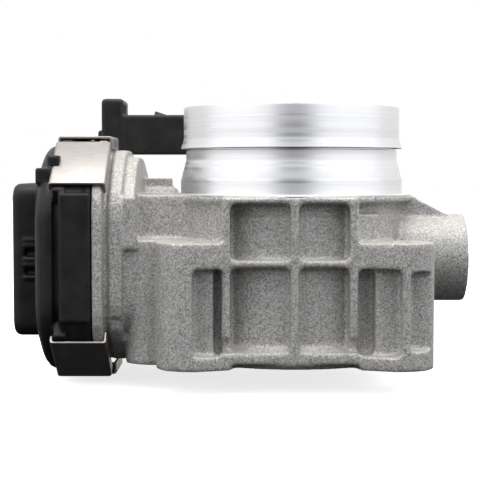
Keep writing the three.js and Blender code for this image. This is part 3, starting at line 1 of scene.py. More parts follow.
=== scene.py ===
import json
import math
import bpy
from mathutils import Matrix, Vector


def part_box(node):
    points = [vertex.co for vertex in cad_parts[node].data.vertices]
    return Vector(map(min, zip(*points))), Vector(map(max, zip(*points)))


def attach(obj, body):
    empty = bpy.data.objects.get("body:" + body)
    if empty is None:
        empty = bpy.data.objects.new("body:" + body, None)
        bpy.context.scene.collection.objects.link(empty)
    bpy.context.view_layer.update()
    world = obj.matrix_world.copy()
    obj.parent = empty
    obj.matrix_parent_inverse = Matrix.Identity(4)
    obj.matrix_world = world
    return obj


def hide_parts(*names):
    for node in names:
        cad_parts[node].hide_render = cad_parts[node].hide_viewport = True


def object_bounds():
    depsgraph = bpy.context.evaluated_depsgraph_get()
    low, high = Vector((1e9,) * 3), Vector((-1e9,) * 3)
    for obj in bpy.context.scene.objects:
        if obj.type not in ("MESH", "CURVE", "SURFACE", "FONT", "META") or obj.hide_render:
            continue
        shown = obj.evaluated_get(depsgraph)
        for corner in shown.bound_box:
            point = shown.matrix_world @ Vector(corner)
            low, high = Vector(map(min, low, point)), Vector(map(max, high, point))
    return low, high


bl_info = {
    "name": "Electronic throttle body",
    "version": (1, 0, 0),
    "blender": (4, 5, 0),
    "location": "View3D > Sidebar > Throttle",
    "description": "Cast housing, turned neck, gear cover, spring clips and finishes over the CAD frame",
    "category": "Object",
}

import bmesh
import bpy
from mathutils import Matrix, Vector

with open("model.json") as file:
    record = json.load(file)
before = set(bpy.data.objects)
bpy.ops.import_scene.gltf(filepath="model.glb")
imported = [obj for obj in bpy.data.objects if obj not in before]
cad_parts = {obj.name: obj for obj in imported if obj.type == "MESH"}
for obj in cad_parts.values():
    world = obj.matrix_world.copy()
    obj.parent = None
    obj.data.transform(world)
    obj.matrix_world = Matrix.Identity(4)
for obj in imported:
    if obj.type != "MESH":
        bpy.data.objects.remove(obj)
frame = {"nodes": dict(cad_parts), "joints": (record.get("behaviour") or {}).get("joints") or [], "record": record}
CAD_LOW, CAD_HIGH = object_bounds()

# Places taken from the frame, in metres. The bore axis is Z through the origin.
COVER_LOW, COVER_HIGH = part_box("gear_cover")
SHAFT_LOW, SHAFT_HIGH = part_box("throttle_shaft")
SEAL_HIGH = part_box("cover_seal")[1]
PIN_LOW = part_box("connector_pin_1")[0]
SHAFT_Z = frame["joints"][0]["pos_m"][2]
NECK_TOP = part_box("throttle_housing")[1].z

# Sizes shared by the cast body and the turned neck, in metres.
LINER_WALL = 0.0016
LIP_GAP = 0.0003
LIP_REACH = 0.0070


# ------------------------------------------------------------------ settings


class CastingSettings(bpy.types.PropertyGroup):
    """Sizes and colours of the cast body."""

    voxel: bpy.props.FloatProperty(
        name="Voxel", description="Fineness of the rounded skin", default=0.00075, unit="LENGTH"
    )
    softening: bpy.props.IntProperty(
        name="Softening", description="Passes that round the edges and fill the corners", default=2
    )
    triangles: bpy.props.IntProperty(
        name="Triangles", description="Most triangles that the skin keeps", default=180000
    )
    colour: bpy.props.FloatVectorProperty(
        name="Colour", description="Blasted aluminium", subtype="COLOR", default=(0.66, 0.65, 0.635)
    )
    shade: bpy.props.FloatVectorProperty(
        name="Shade", description="Darker grains and hollows", subtype="COLOR", default=(0.17, 0.167, 0.162)
    )
    grain: bpy.props.FloatProperty(
        name="Grain", description="Size of the blasted grain", default=0.00045, unit="LENGTH"
    )


class NeckSettings(bpy.types.PropertyGroup):
    """Sizes and colours of the turned neck and bore."""

    bore: bpy.props.FloatProperty(name="Bore", description="Bore radius", default=0.038, unit="LENGTH")
    body_height: bpy.props.FloatProperty(
        name="Body height", description="Flange face to the lip", default=0.0615, unit="LENGTH"
    )
    colour: bpy.props.FloatVectorProperty(
        name="Colour", description="Freshly turned aluminium", subtype="COLOR", default=(0.8, 0.8, 0.815)
    )
    sides: bpy.props.IntProperty(name="Sides", description="Steps of the spin", default=256)


class CoverSettings(bpy.types.PropertyGroup):
    """Sizes and colours of the moulded cover."""

    round: bpy.props.FloatProperty(
        name="Corner", description="Rounding of the cover outline", default=0.0085, unit="LENGTH"
    )
    colour: bpy.props.FloatVectorProperty(
        name="Colour", description="Glass-filled black", subtype="COLOR", default=(0.012, 0.012, 0.0125)
    )


class ClipSettings(bpy.types.PropertyGroup):
    """Colour of the spring clips."""

    colour: bpy.props.FloatVectorProperty(
        name="Colour", description="Bright spring steel", subtype="COLOR", default=(0.43, 0.405, 0.385)
    )


class StageSettings(bpy.types.PropertyGroup):
    """Camera and light."""

    distance: bpy.props.FloatProperty(
        name="Distance", description="Camera to the bore axis", default=0.508, unit="LENGTH"
    )
    lens: bpy.props.FloatProperty(name="Lens", description="Focal length in millimetres", default=98.7)
    floor: bpy.props.FloatVectorProperty(
        name="Floor", description="Pale floor", subtype="COLOR", default=(0.93, 0.93, 0.93)
    )


def settings(name):
    """The settings group of that name on the scene."""
    return getattr(bpy.context.scene, "throttle_" + name)


# ------------------------------------------------------------------ mesh helpers


def new_object(bm, name):
    """A bmesh as a finished object at the origin."""
    mesh = bpy.data.meshes.new(name)
    bm.to_mesh(mesh)
    bm.free()
    obj = bpy.data.objects.new(name, mesh)
    bpy.context.scene.collection.objects.link(obj)
    return obj


def smooth(obj, degrees=35):
    """Smooth shading with the edges sharper than an angle kept crisp."""
    obj.data.shade_smooth()
    if degrees < 180:
        obj.data.set_sharp_from_angle(angle=math.radians(degrees))
    return obj


def bake_modifiers(obj):
    """Puts the modifiers' result into the object's own mesh."""
    graph = bpy.context.evaluated_depsgraph_get()
    graph.update()
    mesh = bpy.data.meshes.new_from_object(obj.evaluated_get(graph))
    old = obj.data
    obj.modifiers.clear()
    obj.data = mesh
    bpy.data.meshes.remove(old)
    return obj


def merged_copy(node, name):
    """A copy of a CAD node's mesh with its doubled corners merged."""
    bm = bmesh.new()
    bm.from_mesh(frame["nodes"][node].data)
    bmesh.ops.remove_doubles(bm, verts=bm.verts, dist=1e-6)
    return new_object(bm, name)


def cut_by(obj, *cutters):
    """Takes the cutters away from the object and drops them."""
    for cutter in cutters:
        modifier = obj.modifiers.new("cut", "BOOLEAN")
        modifier.operation = "DIFFERENCE"
        modifier.solver = "EXACT"
        modifier.object = cutter
    bake_modifiers(obj)
    for cutter in cutters:
        bpy.data.objects.remove(cutter)
    return obj


def spun(bm, profile, steps):
    """Spins a closed (radius, height) profile round the bore axis."""
    points = [bm.verts.new((radius, 0, height)) for radius, height in profile]
    edges = [bm.edges.new((a, b)) for a, b in zip(points, points[1:] + points[:1]) if a.co != b.co]
    geometry = points + edges
    bmesh.ops.spin(
        bm, geom=geometry, cent=(0, 0, 0), axis=(0, 0, 1), angle=math.tau, steps=steps, use_merge=True
    )
    bmesh.ops.remove_doubles(bm, verts=bm.verts, dist=1e-7)
    bmesh.ops.recalc_face_normals(bm, faces=bm.faces)
    return bm


def rod(radius, start, end, sides=48):
    """A capped cylinder between two points, as a new object for cutting."""
    start, end = Vector(start), Vector(end)
    bm = bmesh.new()
    bmesh.ops.create_cone(
        bm, cap_ends=True, segments=sides, radius1=radius, radius2=radius, depth=(end - start).length
    )
    turn = Vector((0, 0, 1)).rotation_difference(end - start).to_matrix()
    bmesh.ops.rotate(bm, verts=bm.verts, cent=(0, 0, 0), matrix=turn)
    bmesh.ops.translate(bm, verts=bm.verts, vec=(start + end) / 2)
    return new_object(bm, "cutter")


def bevelled_box(bm, low, high, width, segments=3):
    """Adds a box to a bmesh, with its edges softened if a width is given."""
    low, high = Vector(low), Vector(high)
    made = bmesh.ops.create_cube(bm, size=1)["verts"]
    bmesh.ops.scale(bm, vec=high - low, verts=made)
    bmesh.ops.translate(bm, vec=(low + high) / 2, verts=made)
    edges = list({e for v in made for e in v.link_edges})
    if width:
        bmesh.ops.bevel(
            bm,
            geom=edges,
            offset=width,
            offset_type="OFFSET",
            affect="EDGES",
            segments=segments,
            profile=0.5,
            material=-1,
        )


def finish_piece(obj, body, material, slot, *nodes):
    """Gives a piece its material and body, and hides the CAD nodes it stands for. The slot is not used."""
    obj.data.materials.clear()
    obj.data.materials.append(material)
    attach(obj, body)
    if nodes:
        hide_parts(*nodes)
    return obj


# ------------------------------------------------------------------ materials


class Nodes:
    """A node material under construction, with its shader at hand."""

    def __init__(self, name, **values):
        self.material = bpy.data.materials.new(name)
        self.material.use_nodes = True
        self.tree = self.material.node_tree
        self.shader = self.tree.nodes["Principled BSDF"]
        self.place = self.add("ShaderNodeTexCoord").outputs["Object"]
        for socket, value in values.items():
            self.shader.inputs[socket.replace("_", " ")].default_value = value

    def add(self, kind, **inputs):
        """A node with some of its inputs set or linked."""
        node = self.tree.nodes.new(kind)
        for socket, value in inputs.items():
            self.put(node.inputs[socket.replace("_", " ")], value)
        return node

    def put(self, socket, value):
        """Links an output to a socket, or sets the socket's value."""
        if isinstance(value, bpy.types.NodeSocket):
            self.tree.links.new(value, socket)
        else:
            socket.default_value = value

    def set(self, socket, value):
        """The shader's own socket."""
        self.put(self.shader.inputs[socket], value)

    def noise(self, size, detail=2.0, roughness=0.5, place=None):
        """Noise with a feature size in metres."""
        node = self.add("ShaderNodeTexNoise", Scale=1 / size, Detail=detail, Roughness=roughness)
        self.put(node.inputs["Vector"], place or self.place)
        return node.outputs["Fac"]

    def grains(self, size, place=None):
        """Cells with a random tone each, for a blasted or sugary grain."""
        node = self.add("ShaderNodeTexVoronoi", Scale=1 / size)
        self.put(node.inputs["Vector"], place or self.place)
        return self.add("ShaderNodeSeparateColor", Color=node.outputs["Color"]).outputs["Red"]

    def spread(self, value, low, high, to_low=0.0, to_high=1.0):
        """Stretches a range of values to another, clamped."""
        node = self.add("ShaderNodeMapRange", Value=value)
        for socket, number in zip(("From Min", "From Max", "To Min", "To Max"), (low, high, to_low, to_high)):
            node.inputs[socket].default_value = number
        return node.outputs["Result"]

    def sum(self, kind, a, b):
        """A maths node of two values."""
        node = self.add("ShaderNodeMath")
        node.operation = kind
        self.put(node.inputs[0], a)
        self.put(node.inputs[1], b)
        return node.outputs[0]

    def mixed(self, share, a, b, kind="MIX"):
        """Two colours mixed by a share."""
        node = self.add("ShaderNodeMix")
        node.data_type = "RGBA"
        node.blend_type = kind
        self.put(node.inputs["Factor"], share)
        self.put(node.inputs["A"], a)
        self.put(node.inputs["B"], b)
        return node.outputs["Result"]

    def bumps(self, *layers):
        """Bump layers, each a height, a strength and a distance in metres."""
        normal = None
        for height, strength, distance in layers:
            node = self.add("ShaderNodeBump", Strength=strength, Distance=distance, Height=height)
            if normal:
                self.put(node.inputs["Normal"], normal)
            normal = node.outputs["Normal"]
        self.set("Normal", normal)

    def axis(self, name):
        """One coordinate of the place."""
        split = self.add("ShaderNodeSeparateXYZ", Vector=self.place)
        return split.outputs[name]

    def facing(self, name):
        """One coordinate of the surface's own normal."""
        geometry = self.add("ShaderNodeNewGeometry")
        split = self.add("ShaderNodeSeparateXYZ", Vector=geometry.outputs["Normal"])
        return split.outputs[name]


def rgba(colour, factor=1.0):
    """A colour with its alpha, made lighter or darker."""
    return tuple(min(1.0, channel * factor) for channel in colour[:3]) + (1.0,)


def blasted_aluminium(name, colour, shade, grain):
    """Sand-blasted die casting: fine sparkling grain, soft clouds and a painted warm light on the upper side."""
    m = Nodes(name, Metallic=0.3, Roughness=0.55)
    speck = m.grains(grain)
    fine = m.noise(grain * 1.5, 3, 0.75)
    cloud = m.noise(0.012, 2)
    share = m.sum("MULTIPLY", m.spread(speck, 0.0, 0.6, 0.25), m.spread(fine, 0.36, 0.56, 0.3))
    base = m.mixed(share, rgba(shade), rgba(colour))
    base = m.mixed(m.spread(cloud, 0.35, 0.65, 0.0, 0.15), base, rgba(shade, 1.25))
    # Painted light: faces that look up are tinted warmer, standing in for warm lamp light from above.
    painted_top_light = m.spread(m.facing("Z"), 0.3, 1.0, 0.0, 0.35)
    base = m.mixed(painted_top_light, base, (0.62, 0.57, 0.5, 1.0))
    m.set("Base Color", base)
    m.set("Roughness", m.spread(fine, 0.3, 0.7, 0.42, 0.62))
    m.bumps((m.noise(grain * 1.1, 2, 0.6), 0.7, 0.0002), (speck, 0.4, 0.0001))
    return m.material


def turned_aluminium(name, colour):
    """Freshly turned aluminium: fine feed lines round the axis and a faint lay of tones."""
    m = Nodes(name, Metallic=1.0, Roughness=0.3, Anisotropic=0.75)
    tangent = m.add("ShaderNodeTangent")
    tangent.direction_type = "RADIAL"
    tangent.axis = "Z"
    m.set("Tangent", tangent.outputs["Tangent"])
    height = m.axis("Z")
    lines = m.add("ShaderNodeTexNoise", Scale=1.0, Detail=2.0, Roughness=0.6)
    lines.noise_dimensions = "1D"
    m.put(lines.inputs["W"], m.sum("MULTIPLY", height, 2600.0))
    bands = m.add("ShaderNodeTexNoise", Scale=1.0, Detail=2.0)
    bands.noise_dimensions = "1D"
    m.put(bands.inputs["W"], m.sum("MULTIPLY", height, 500.0))
    stripe = m.spread(lines.outputs["Fac"], 0.3, 0.7)
    m.set("Base Color", m.mixed(stripe, rgba(colour, 0.93), rgba(colour)))
    m.set("Roughness", m.spread(bands.outputs["Fac"], 0.3, 0.7, 0.24, 0.34))
    m.bumps((lines.outputs["Fac"], 0.05, 0.00006))
    return m.material


def moulded_plastic(name, colour, roughness=0.42):
    """Glass-filled black plastic: a satin skin with a fine flow texture."""
    m = Nodes(name, Roughness=roughness, Specular_IOR_Level=0.32)
    flow = m.noise(0.006, 4, 0.6)
    fine = m.noise(0.00035, 2, 0.5)
    m.set("Base Color", m.mixed(m.spread(flow, 0.35, 0.7), rgba(colour, 0.8), rgba(colour, 1.5)))
    m.set("Roughness", m.spread(flow, 0.3, 0.7, roughness - 0.05, roughness + 0.12))
    m.bumps((fine, 0.12, 0.00008), (m.noise(0.0012, 3), 0.1, 0.00012))
    return m.material


def bright_steel(name, colour, roughness=0.26):
    """Rolled steel strip or turned steel: a faint brushed lay and rubbed spots."""
    m = Nodes(name, Metallic=1.0, Roughness=roughness)
    lay = m.add("ShaderNodeMapping", Vector=m.place, Scale=(0.05, 1.0, 1.0)).outputs["Vector"]
    brushed = m.noise(0.0003, 3, 0.6, lay)
    rubbed = m.noise(0.005, 3, 0.6)
    m.set("Base Color", m.mixed(m.spread(brushed, 0.3, 0.7), rgba(colour, 0.82), rgba(colour)))
    m.set("Roughness", m.spread(rubbed, 0.3, 0.7, roughness - 0.06, roughness + 0.12))
    m.bumps((brushed, 0.1, 0.00005))
    return m.material


def dull_solid(name, colour, roughness, grain, metallic=0.0, contrast=0.75):
    """Nylon, rubber, carbon, magnet and the like: a mottled tone with a fine grain."""
    m = Nodes(name, Roughness=roughness, Metallic=metallic)
    cloud = m.noise(grain * 12, 3)
    fine = m.noise(grain, 2)
    m.set("Base Color", m.mixed(m.spread(cloud, 0.3, 0.7), rgba(colour, contrast), rgba(colour, 1.1)))
    m.set("Roughness", m.spread(fine, 0.3, 0.7, roughness - 0.05, min(1.0, roughness + 0.08)))
    m.bumps((fine, 0.15, grain * 0.2))
    return m.material


def printed_board(name):
    """Circuit board: green lacquer over a lattice of tracks."""
    m = Nodes(name, Roughness=0.35)
    tracks = m.add("ShaderNodeTexBrick", Vector=m.add("ShaderNodeMapping", Vector=m.place,
                   Rotation=(0.0, math.pi / 2, 0.0)).outputs["Vector"], Scale=160.0)
    tracks.inputs["Color1"].default_value = (0.03, 0.14, 0.06, 1)
    tracks.inputs["Color2"].default_value = (0.04, 0.18, 0.08, 1)
    tracks.inputs["Mortar"].default_value = (0.09, 0.28, 0.12, 1)
    m.set("Base Color", tracks.outputs["Color"])
    m.bumps((tracks.outputs["Fac"], 0.3, 0.0001))
    return m.material


# ------------------------------------------------------------------ pieces


FLANGE_SNAP = 0.00035  # the remeshed skin is pressed flat up to this height
RECESS_LOW = (-0.0672, -0.045, -0.012)
RECESS_HIGH = (-0.0628, -0.0318, 0.0173)


class THROTTLE_OT_casting(bpy.types.Operator):
    """Rounds the cast body: softened edges, filled corners and a blasted skin, with a flat flange face"""

    bl_idname = "throttle.casting"
    bl_label = "Cast body"

    def execute(self, context):
        s = settings("casting")
        neck = settings("neck")
        skin = merged_copy("throttle_housing", "cast_body")
        # The turned neck and bore liner are a piece of their own, so this metal comes off here.
        bm = bmesh.new()
        liner = neck.bore + LINER_WALL
        reach = neck.bore + LIP_REACH + 0.0002
        seat = neck.body_height - LIP_GAP
        low, high = CAD_LOW.z - 0.011, NECK_TOP + 0.025
        profile = [(0, low), (liner, low), (liner, seat), (reach, seat), (reach, high), (0, high)]
        spun(bm, profile, 192)
        cut_by(skin, new_object(bm, "cutter"))
        cut_by(skin, self.pan_recess())
        skinned(skin, s.voxel, s.softening, s.triangles)
        # The flange face stays machined flat.
        bm = bmesh.new()
        bm.from_mesh(skin.data)
        for vertex in bm.verts:
            if vertex.co.z < FLANGE_SNAP:
                vertex.co.z = 0.0
        bm.to_mesh(skin.data)
        bm.free()
        material = blasted_aluminium("Blasted aluminium", s.colour, s.shade, s.grain)
        finish_piece(skin, "housing", material, "cast_aluminium", "throttle_housing")
        return {"FINISHED"}

    def pan_recess(self):
        """Relief in the pan's band, behind the rim and above the lower clip."""
        return solid_box(RECESS_LOW, RECESS_HIGH, name="cutter")


class THROTTLE_OT_neck(bpy.types.Operator):
    """Spins the turned neck with its hose bead and groove, and the bore under it"""

    bl_idname = "throttle.neck"
    bl_label = "Turned neck and bore"

    def execute(self, context):
        s = settings("neck")
        bore, lip, top = s.bore, s.body_height, NECK_TOP
        base = lip + 0.0058
        groove = base + 0.0072
        bead = groove + 0.0044
        bead_top = bead + 0.0036
        liner = bore + LINER_WALL
        # Radius and height, up the outside and down the bore.
        profile = [
            (liner, 0.0),
            (liner, lip - LIP_GAP),
            (bore + LIP_REACH, lip - LIP_GAP),
            (bore + LIP_REACH, lip + 0.0001),
            (bore + 0.0054, lip + 0.0001),
            (bore + 0.0047, lip + 0.0004),
            (bore + 0.0044, lip + 0.0010),
            (bore + 0.0044, base - 0.0004),
            (bore + 0.00432, base),
            (bore + 0.00245, groove - 0.0002),
            (bore + 0.00235, groove + 0.0001),
            (bore + 0.00235, bead - 0.0007),
            (bore + 0.0013, bead - 0.0005),
            (bore + 0.0013, bead - 0.0001),
            (bore + 0.0041, bead),
            (bore + 0.00435, bead + 0.0002),
            (bore + 0.0033, bead_top - 0.0001),
            (bore + 0.00325, bead_top + 0.0002),
            (bore + 0.00325, top - 0.0014),
            (bore + 0.0030, top - 0.0006),
            (bore + 0.0024, top - 0.0001),
            (bore + 0.0018, top),
            (bore + 0.0006, top),
            (bore + 0.0001, top - 0.0003),
            (bore, top - 0.0008),
            (bore, 0.0004),
            (bore + 0.0004, 0.0),
        ]
        bm = bmesh.new()
        spun(bm, profile, s.sides)
        neck = new_object(bm, "turned_neck")
        radius = (SHAFT_HIGH.y - SHAFT_LOW.y) / 2 + 0.0004
        cut_by(neck, rod(radius, (-0.06, 0, SHAFT_Z), (0.06, 0, SHAFT_Z)))
        smooth(neck, 28)
        finish_piece(neck, "housing", turned_aluminium("Turned aluminium", s.colour), "cast_aluminium")
        return {"FINISHED"}


# Places of the cover, from its CAD box and the seal between it and the pan.
RIM_BOTTOM = COVER_LOW.z
CASE_TOP = 2 * SHAFT_Z - RIM_BOTTOM
FACE_X = SEAL_HIGH.x
RIM_X = FACE_X - 0.0139
DOME_X = RIM_X - 0.0073
BLOCK_X = COVER_LOW.x
BLOCK_HALF_WIDTH = 0.020
BLOCK_HALF_HEIGHT = 0.0285
TOWER_LEFT = FACE_X - 0.0047
TOWER_RIGHT = FACE_X + 0.0047
TOWER_TOP = COVER_HIGH.z
SOCKET_MOUTH = COVER_HIGH.x
SOCKET_FLOOR = CASE_TOP - 0.0048
SOCKET_TOP = SOCKET_FLOOR + 0.0165
SOCKET_FRONT = PIN_LOW.y - 0.0057
SOCKET_BACK = SOCKET_FRONT + 0.024


def case_corners():
    """Corners of the gear case in (Y, Z), anticlockwise seen from +X."""
    front, back = COVER_LOW.y, COVER_HIGH.y
    low, top = RIM_BOTTOM, CASE_TOP
    return [
        (front, SHAFT_Z + 0.026),
        (front, SHAFT_Z - 0.026),
        (front + 0.026, low),
        (back - 0.040, low),
        (back, low + 0.0214),
        (back, top - 0.036),
        (back - 0.038, top - 0.008),
        (back - 0.066, top),
        (front + 0.026, top),
    ]


def block_corners():
    """Corners of the raised block over the position sensor, in (Y, Z)."""
    low, high = SHAFT_Z - BLOCK_HALF_HEIGHT, SHAFT_Z + BLOCK_HALF_HEIGHT
    wide = BLOCK_HALF_WIDTH
    return [(wide, low), (wide, high), (-wide, high), (-wide, low)]


def level(bm, corners, x, inset, round_by):
    """Adds one rounded outline at X, drawn in from its corners, and returns its face."""
    flat = bmesh.new()
    outer = [flat.verts.new((x, y, z)) for y, z in corners]
    face = flat.faces.new(outer)
    face.normal_update()
    if inset:
        bmesh.ops.inset_individual(flat, faces=[face], thickness=inset, use_even_offset=True)
        bmesh.ops.delete(flat, geom=outer, context="VERTS")
    bmesh.ops.bevel(
        flat,
        geom=flat.verts[:],
        offset=round_by,
        offset_type="OFFSET",
        affect="VERTICES",
        segments=6,
        profile=0.5,
        material=-1,
    )
    mesh = bpy.data.meshes.new("level")
    flat.to_mesh(mesh)
    flat.free()
    bm.from_mesh(mesh)
    bpy.data.meshes.remove(mesh)
    bm.faces.ensure_lookup_table()
    return bm.faces[-1]


def lofted(corners, levels, name):
    """A closed solid through (x, inset, rounding) outlines, capped at both ends."""
    bm = bmesh.new()
    faces = [level(bm, corners, *row) for row in levels]
    loops = [face.edges[:] for face in faces]
    bmesh.ops.delete(bm, geom=faces[1:-1], context="FACES_ONLY")
    for one, two in zip(loops, loops[1:]):
        bmesh.ops.bridge_loops(bm, edges=one + two)
    bmesh.ops.recalc_face_normals(bm, faces=bm.faces)
    return new_object(bm, name)


def solid_box(low, high, width=0.0, turn=None, name="block"):
    """A softened box as a new object, turned about the X axis if asked."""
    bm = bmesh.new()
    bevelled_box(bm, low, high, width)
    if turn is not None:
        angle, (y, z) = turn
        spin = Matrix.Rotation(angle, 3, "X")
        bmesh.ops.rotate(bm, verts=bm.verts, cent=(0, y, z), matrix=spin)
    return new_object(bm, name)


def add_to(obj, *others):
    """Joins other solids to the object and drops them."""
    for other in others:
        modifier = obj.modifiers.new("join", "BOOLEAN")
        modifier.operation = "UNION"
        modifier.solver = "EXACT"
        modifier.object = other
    bake_modifiers(obj)
    for other in others:
        bpy.data.objects.remove(other)
    return obj


def skinned(obj, voxel, passes, most):
    """Softens every edge and corner by remeshing, and keeps the mesh under a number of triangles."""
    remesh = obj.modifiers.new("skin", "REMESH")
    remesh.mode = "VOXEL"
    remesh.voxel_size = voxel
    soften = obj.modifiers.new("soften", "SMOOTH")
    soften.factor = 0.5
    soften.iterations = passes
    bake_modifiers(obj)
    count = sum(len(polygon.vertices) - 2 for polygon in obj.data.polygons)
    if count > most:
        thin = obj.modifiers.new("thin", "DECIMATE")
        thin.ratio = most / count
        bake_modifiers(obj)
    return smooth(obj, 180)


# Each clip sits in the middle of one edge of the case outline.
CLIP_EDGES = (8, 1, 2, 3, 4, 7)
PAD_LENGTH = 0.030


class THROTTLE_OT_cover(bpy.types.Operator):
    """Lofts the domed gear cover with its rim, recess, clip pads, sensor block and wiring socket"""

    bl_idname = "throttle.cover"
    bl_label = "Gear cover"

    def execute(self, context):
        s = settings("cover")
        corner = s.round
        outer = [
            (DOME_X, 0.0100, corner),
            (DOME_X + 0.0003, 0.0070, corner),
            (DOME_X + 0.0013, 0.0046, corner),
            (DOME_X + 0.0027, 0.0030, corner),
            (DOME_X + 0.0045, 0.0022, corner),
            (RIM_X - 0.0002, 0.0020, corner),
            (RIM_X, 0.0038, corner),
            (RIM_X + 0.0025, 0.0038, corner),
            (RIM_X + 0.0025, 0.0005, corner),
            (RIM_X + 0.0029, 0.0, corner),
            (FACE_X - 0.0036, 0.0, corner),
            (FACE_X - 0.0034, 0.0005, corner),
            (FACE_X - 0.0020, 0.0005, corner),
            (FACE_X - 0.0018, 0.0, corner),
            (FACE_X, 0.0, corner),
        ]
        inner = [
            (FACE_X + 0.001, 0.0054, 0.0050),
            (RIM_X + 0.0002, 0.0056, 0.0050),
            (RIM_X - 0.0008, 0.0080, 0.0050),
            (RIM_X - 0.0014, 0.0115, 0.0040),
            (DOME_X + 0.0025, 0.0120, 0.0040),
        ]
        edge = 0.0027
        block = [
            (DOME_X + 0.0012, 0.0, 0.0050),
            (BLOCK_X + edge, 0.0, 0.0050),
            (BLOCK_X + edge * 0.5, edge * 0.13, 0.0050),
            (BLOCK_X + edge * 0.13, edge * 0.5, 0.0045),
            (BLOCK_X, edge, 0.0040),
        ]
        hollow = [(DOME_X + 0.0030, 0.0034, 0.0030), (BLOCK_X + 0.0025, 0.0034, 0.0030)]
        seal_outer = [(FACE_X + 0.001, 0.0015, 0.0070), (FACE_X - 0.0017, 0.0015, 0.0070)]
        seal_inner = [(FACE_X + 0.002, 0.0041, 0.0060), (FACE_X - 0.0027, 0.0041, 0.0060)]
        corners = case_corners()
        trench = cut_by(lofted(corners, seal_outer, "cutter"), lofted(corners, seal_inner, "cutter"))
        cover = lofted(corners, outer, "domed_cover")
        add_to(cover, lofted(block_corners(), block, "block"), *self.rim_pads(), *self.block_ribs())
        add_to(cover, *self.socket_blocks())
        cut_by(cover, lofted(corners, inner, "cutter"), lofted(block_corners(), hollow, "cutter"), trench)
        cut_by(cover, *self.block_slots(), *self.socket_hollows())
        skinned(cover, 0.00055, 2, 170000)
        material = moulded_plastic("Glass-filled nylon", s.colour)
        finish_piece(cover, "housing", material, "black_plastic", "gear_cover")
        return {"FINISHED"}

    def rim_pads(self):
        """Pads that carry the clips over the recess, and the raised pad along the front."""
        corners = case_corners()
        pads = []
        for edge in CLIP_EDGES:
            (y0, z0), (y1, z1) = corners[edge], corners[(edge + 1) % len(corners)]
            middle = ((y0 + y1) / 2, (z0 + z1) / 2)
            # Built lying along Z on the front edge, then turned to this edge.
            angle = math.atan2(z1 - z0, y1 - y0) + math.pi / 2
            low = (RIM_X + 0.0001, middle[0] + 0.0002, middle[1] - PAD_LENGTH / 2)
            high = (RIM_X + 0.0045, middle[0] + 0.0060, middle[1] + PAD_LENGTH / 2)
            pads.append(solid_box(low, high, 0.0004, (angle, middle), "pad"))
        front = COVER_LOW.y
        low = (RIM_X + 0.0025, front - 0.0004, SHAFT_Z - 0.0213)
        high = (FACE_X - 0.0002, front + 0.003, SHAFT_Z + 0.0252)
        pads.append(solid_box(low, high, 0.0003, name="pad"))
        return pads

    def block_slots(self):
        """Two slots in the front wall of the sensor block."""
        front = -BLOCK_HALF_WIDTH
        return [
            solid_box(
                (BLOCK_X + 0.0048, front - 0.001, SHAFT_Z + low),
                (DOME_X + 0.0004, front + 0.0016, SHAFT_Z + high),
                name="cutter",
            )
            for low, high in ((0.0013, 0.0043), (-0.0055, -0.0029))
        ]

    def block_ribs(self):
        """Thin ribs round the slots, and the two stops on the dome above the block."""
        front = -BLOCK_HALF_WIDTH
        ribs = [
            solid_box(
                (BLOCK_X + 0.0044, front - 0.0005, SHAFT_Z + low),
                (DOME_X + 0.0006, front + 0.001, SHAFT_Z + low + 0.0012),
                0.0002,
                name="rib",
            )
            for low in (0.0049, 0.0069, -0.0003, -0.0023, -0.0071)
        ]
        stops = [
            ((DOME_X + 0.0004, -0.030, 0.0655), (DOME_X + 0.0060, -0.022, 0.0716)),
            ((DOME_X + 0.0044, -0.028, 0.0700), (DOME_X + 0.0090, -0.020, 0.0762)),
        ]
        return ribs + [solid_box(low, high, 0.0006, name="stop") for low, high in stops]

    def socket_blocks(self):
        """Tower, shroud, latch ramp, fin and gusset of the wiring socket."""
        top = TOWER_TOP
        roof = SOCKET_TOP
        front, back = SOCKET_FRONT, SOCKET_BACK
        middle = (front + back) / 2
        ramp_low = (SOCKET_MOUTH - 0.018, middle - 0.005, roof - 0.001)
        ramp_high = (SOCKET_MOUTH - 0.0125, middle + 0.005, roof + 0.002)
        ramp = bmesh.new()
        bevelled_box(ramp, ramp_low, ramp_high, 0)
        for vertex in ramp.verts:
            if vertex.co.x > SOCKET_MOUTH - 0.013 and vertex.co.z > roof:
                vertex.co.z = roof + 0.0001
        left, right = TOWER_LEFT, TOWER_RIGHT
        rows = [
            # name, low corner, high corner, softened edge
            ("tower", (left, front, SOCKET_FLOOR - 0.002), (right, back, top), 0.0016),
            ("foot", (left, front, CASE_TOP - 0.032), (FACE_X - 0.0002, back, SOCKET_FLOOR + 0.004), 0.0),
            (
                "gusset",
                (left - 0.0018, front + 0.004, CASE_TOP - 0.02),
                (left + 0.002, back - 0.004, SOCKET_FLOOR + 0.010),
                0.0006,
            ),
            ("shroud", (right - 0.001, front, SOCKET_FLOOR), (SOCKET_MOUTH, back, roof), 0.0012),
            (
                "fin",
                (right - 0.001, front + 0.002, roof - 0.001),
                (right + 0.0010, front + 0.0034, roof + 0.0045),
                0.0003,
            ),
        ]
        blocks = [solid_box(low, high, width, name=name) for name, low, high, width in rows]
        return blocks + [new_object(ramp, "ramp")]

    def socket_hollows(self):
        """The hollow of the shroud and the bores of its six pins."""
        wall = 0.002
        low = (SOCKET_MOUTH - 0.027, SOCKET_FRONT + wall, SOCKET_FLOOR + wall)
        high = (SOCKET_MOUTH + 0.001, SOCKET_BACK - wall, SOCKET_TOP - wall)
        hollows = [solid_box(low, high, 0.001, name="cutter")]
        for pin in range(1, 7):
            first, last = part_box(f"connector_pin_{pin}")
            slack = Vector((0.0004, 0.0004, 0.0004))
            hollows.append(solid_box(first - slack, last + slack, name="cutter"))
        return hollows


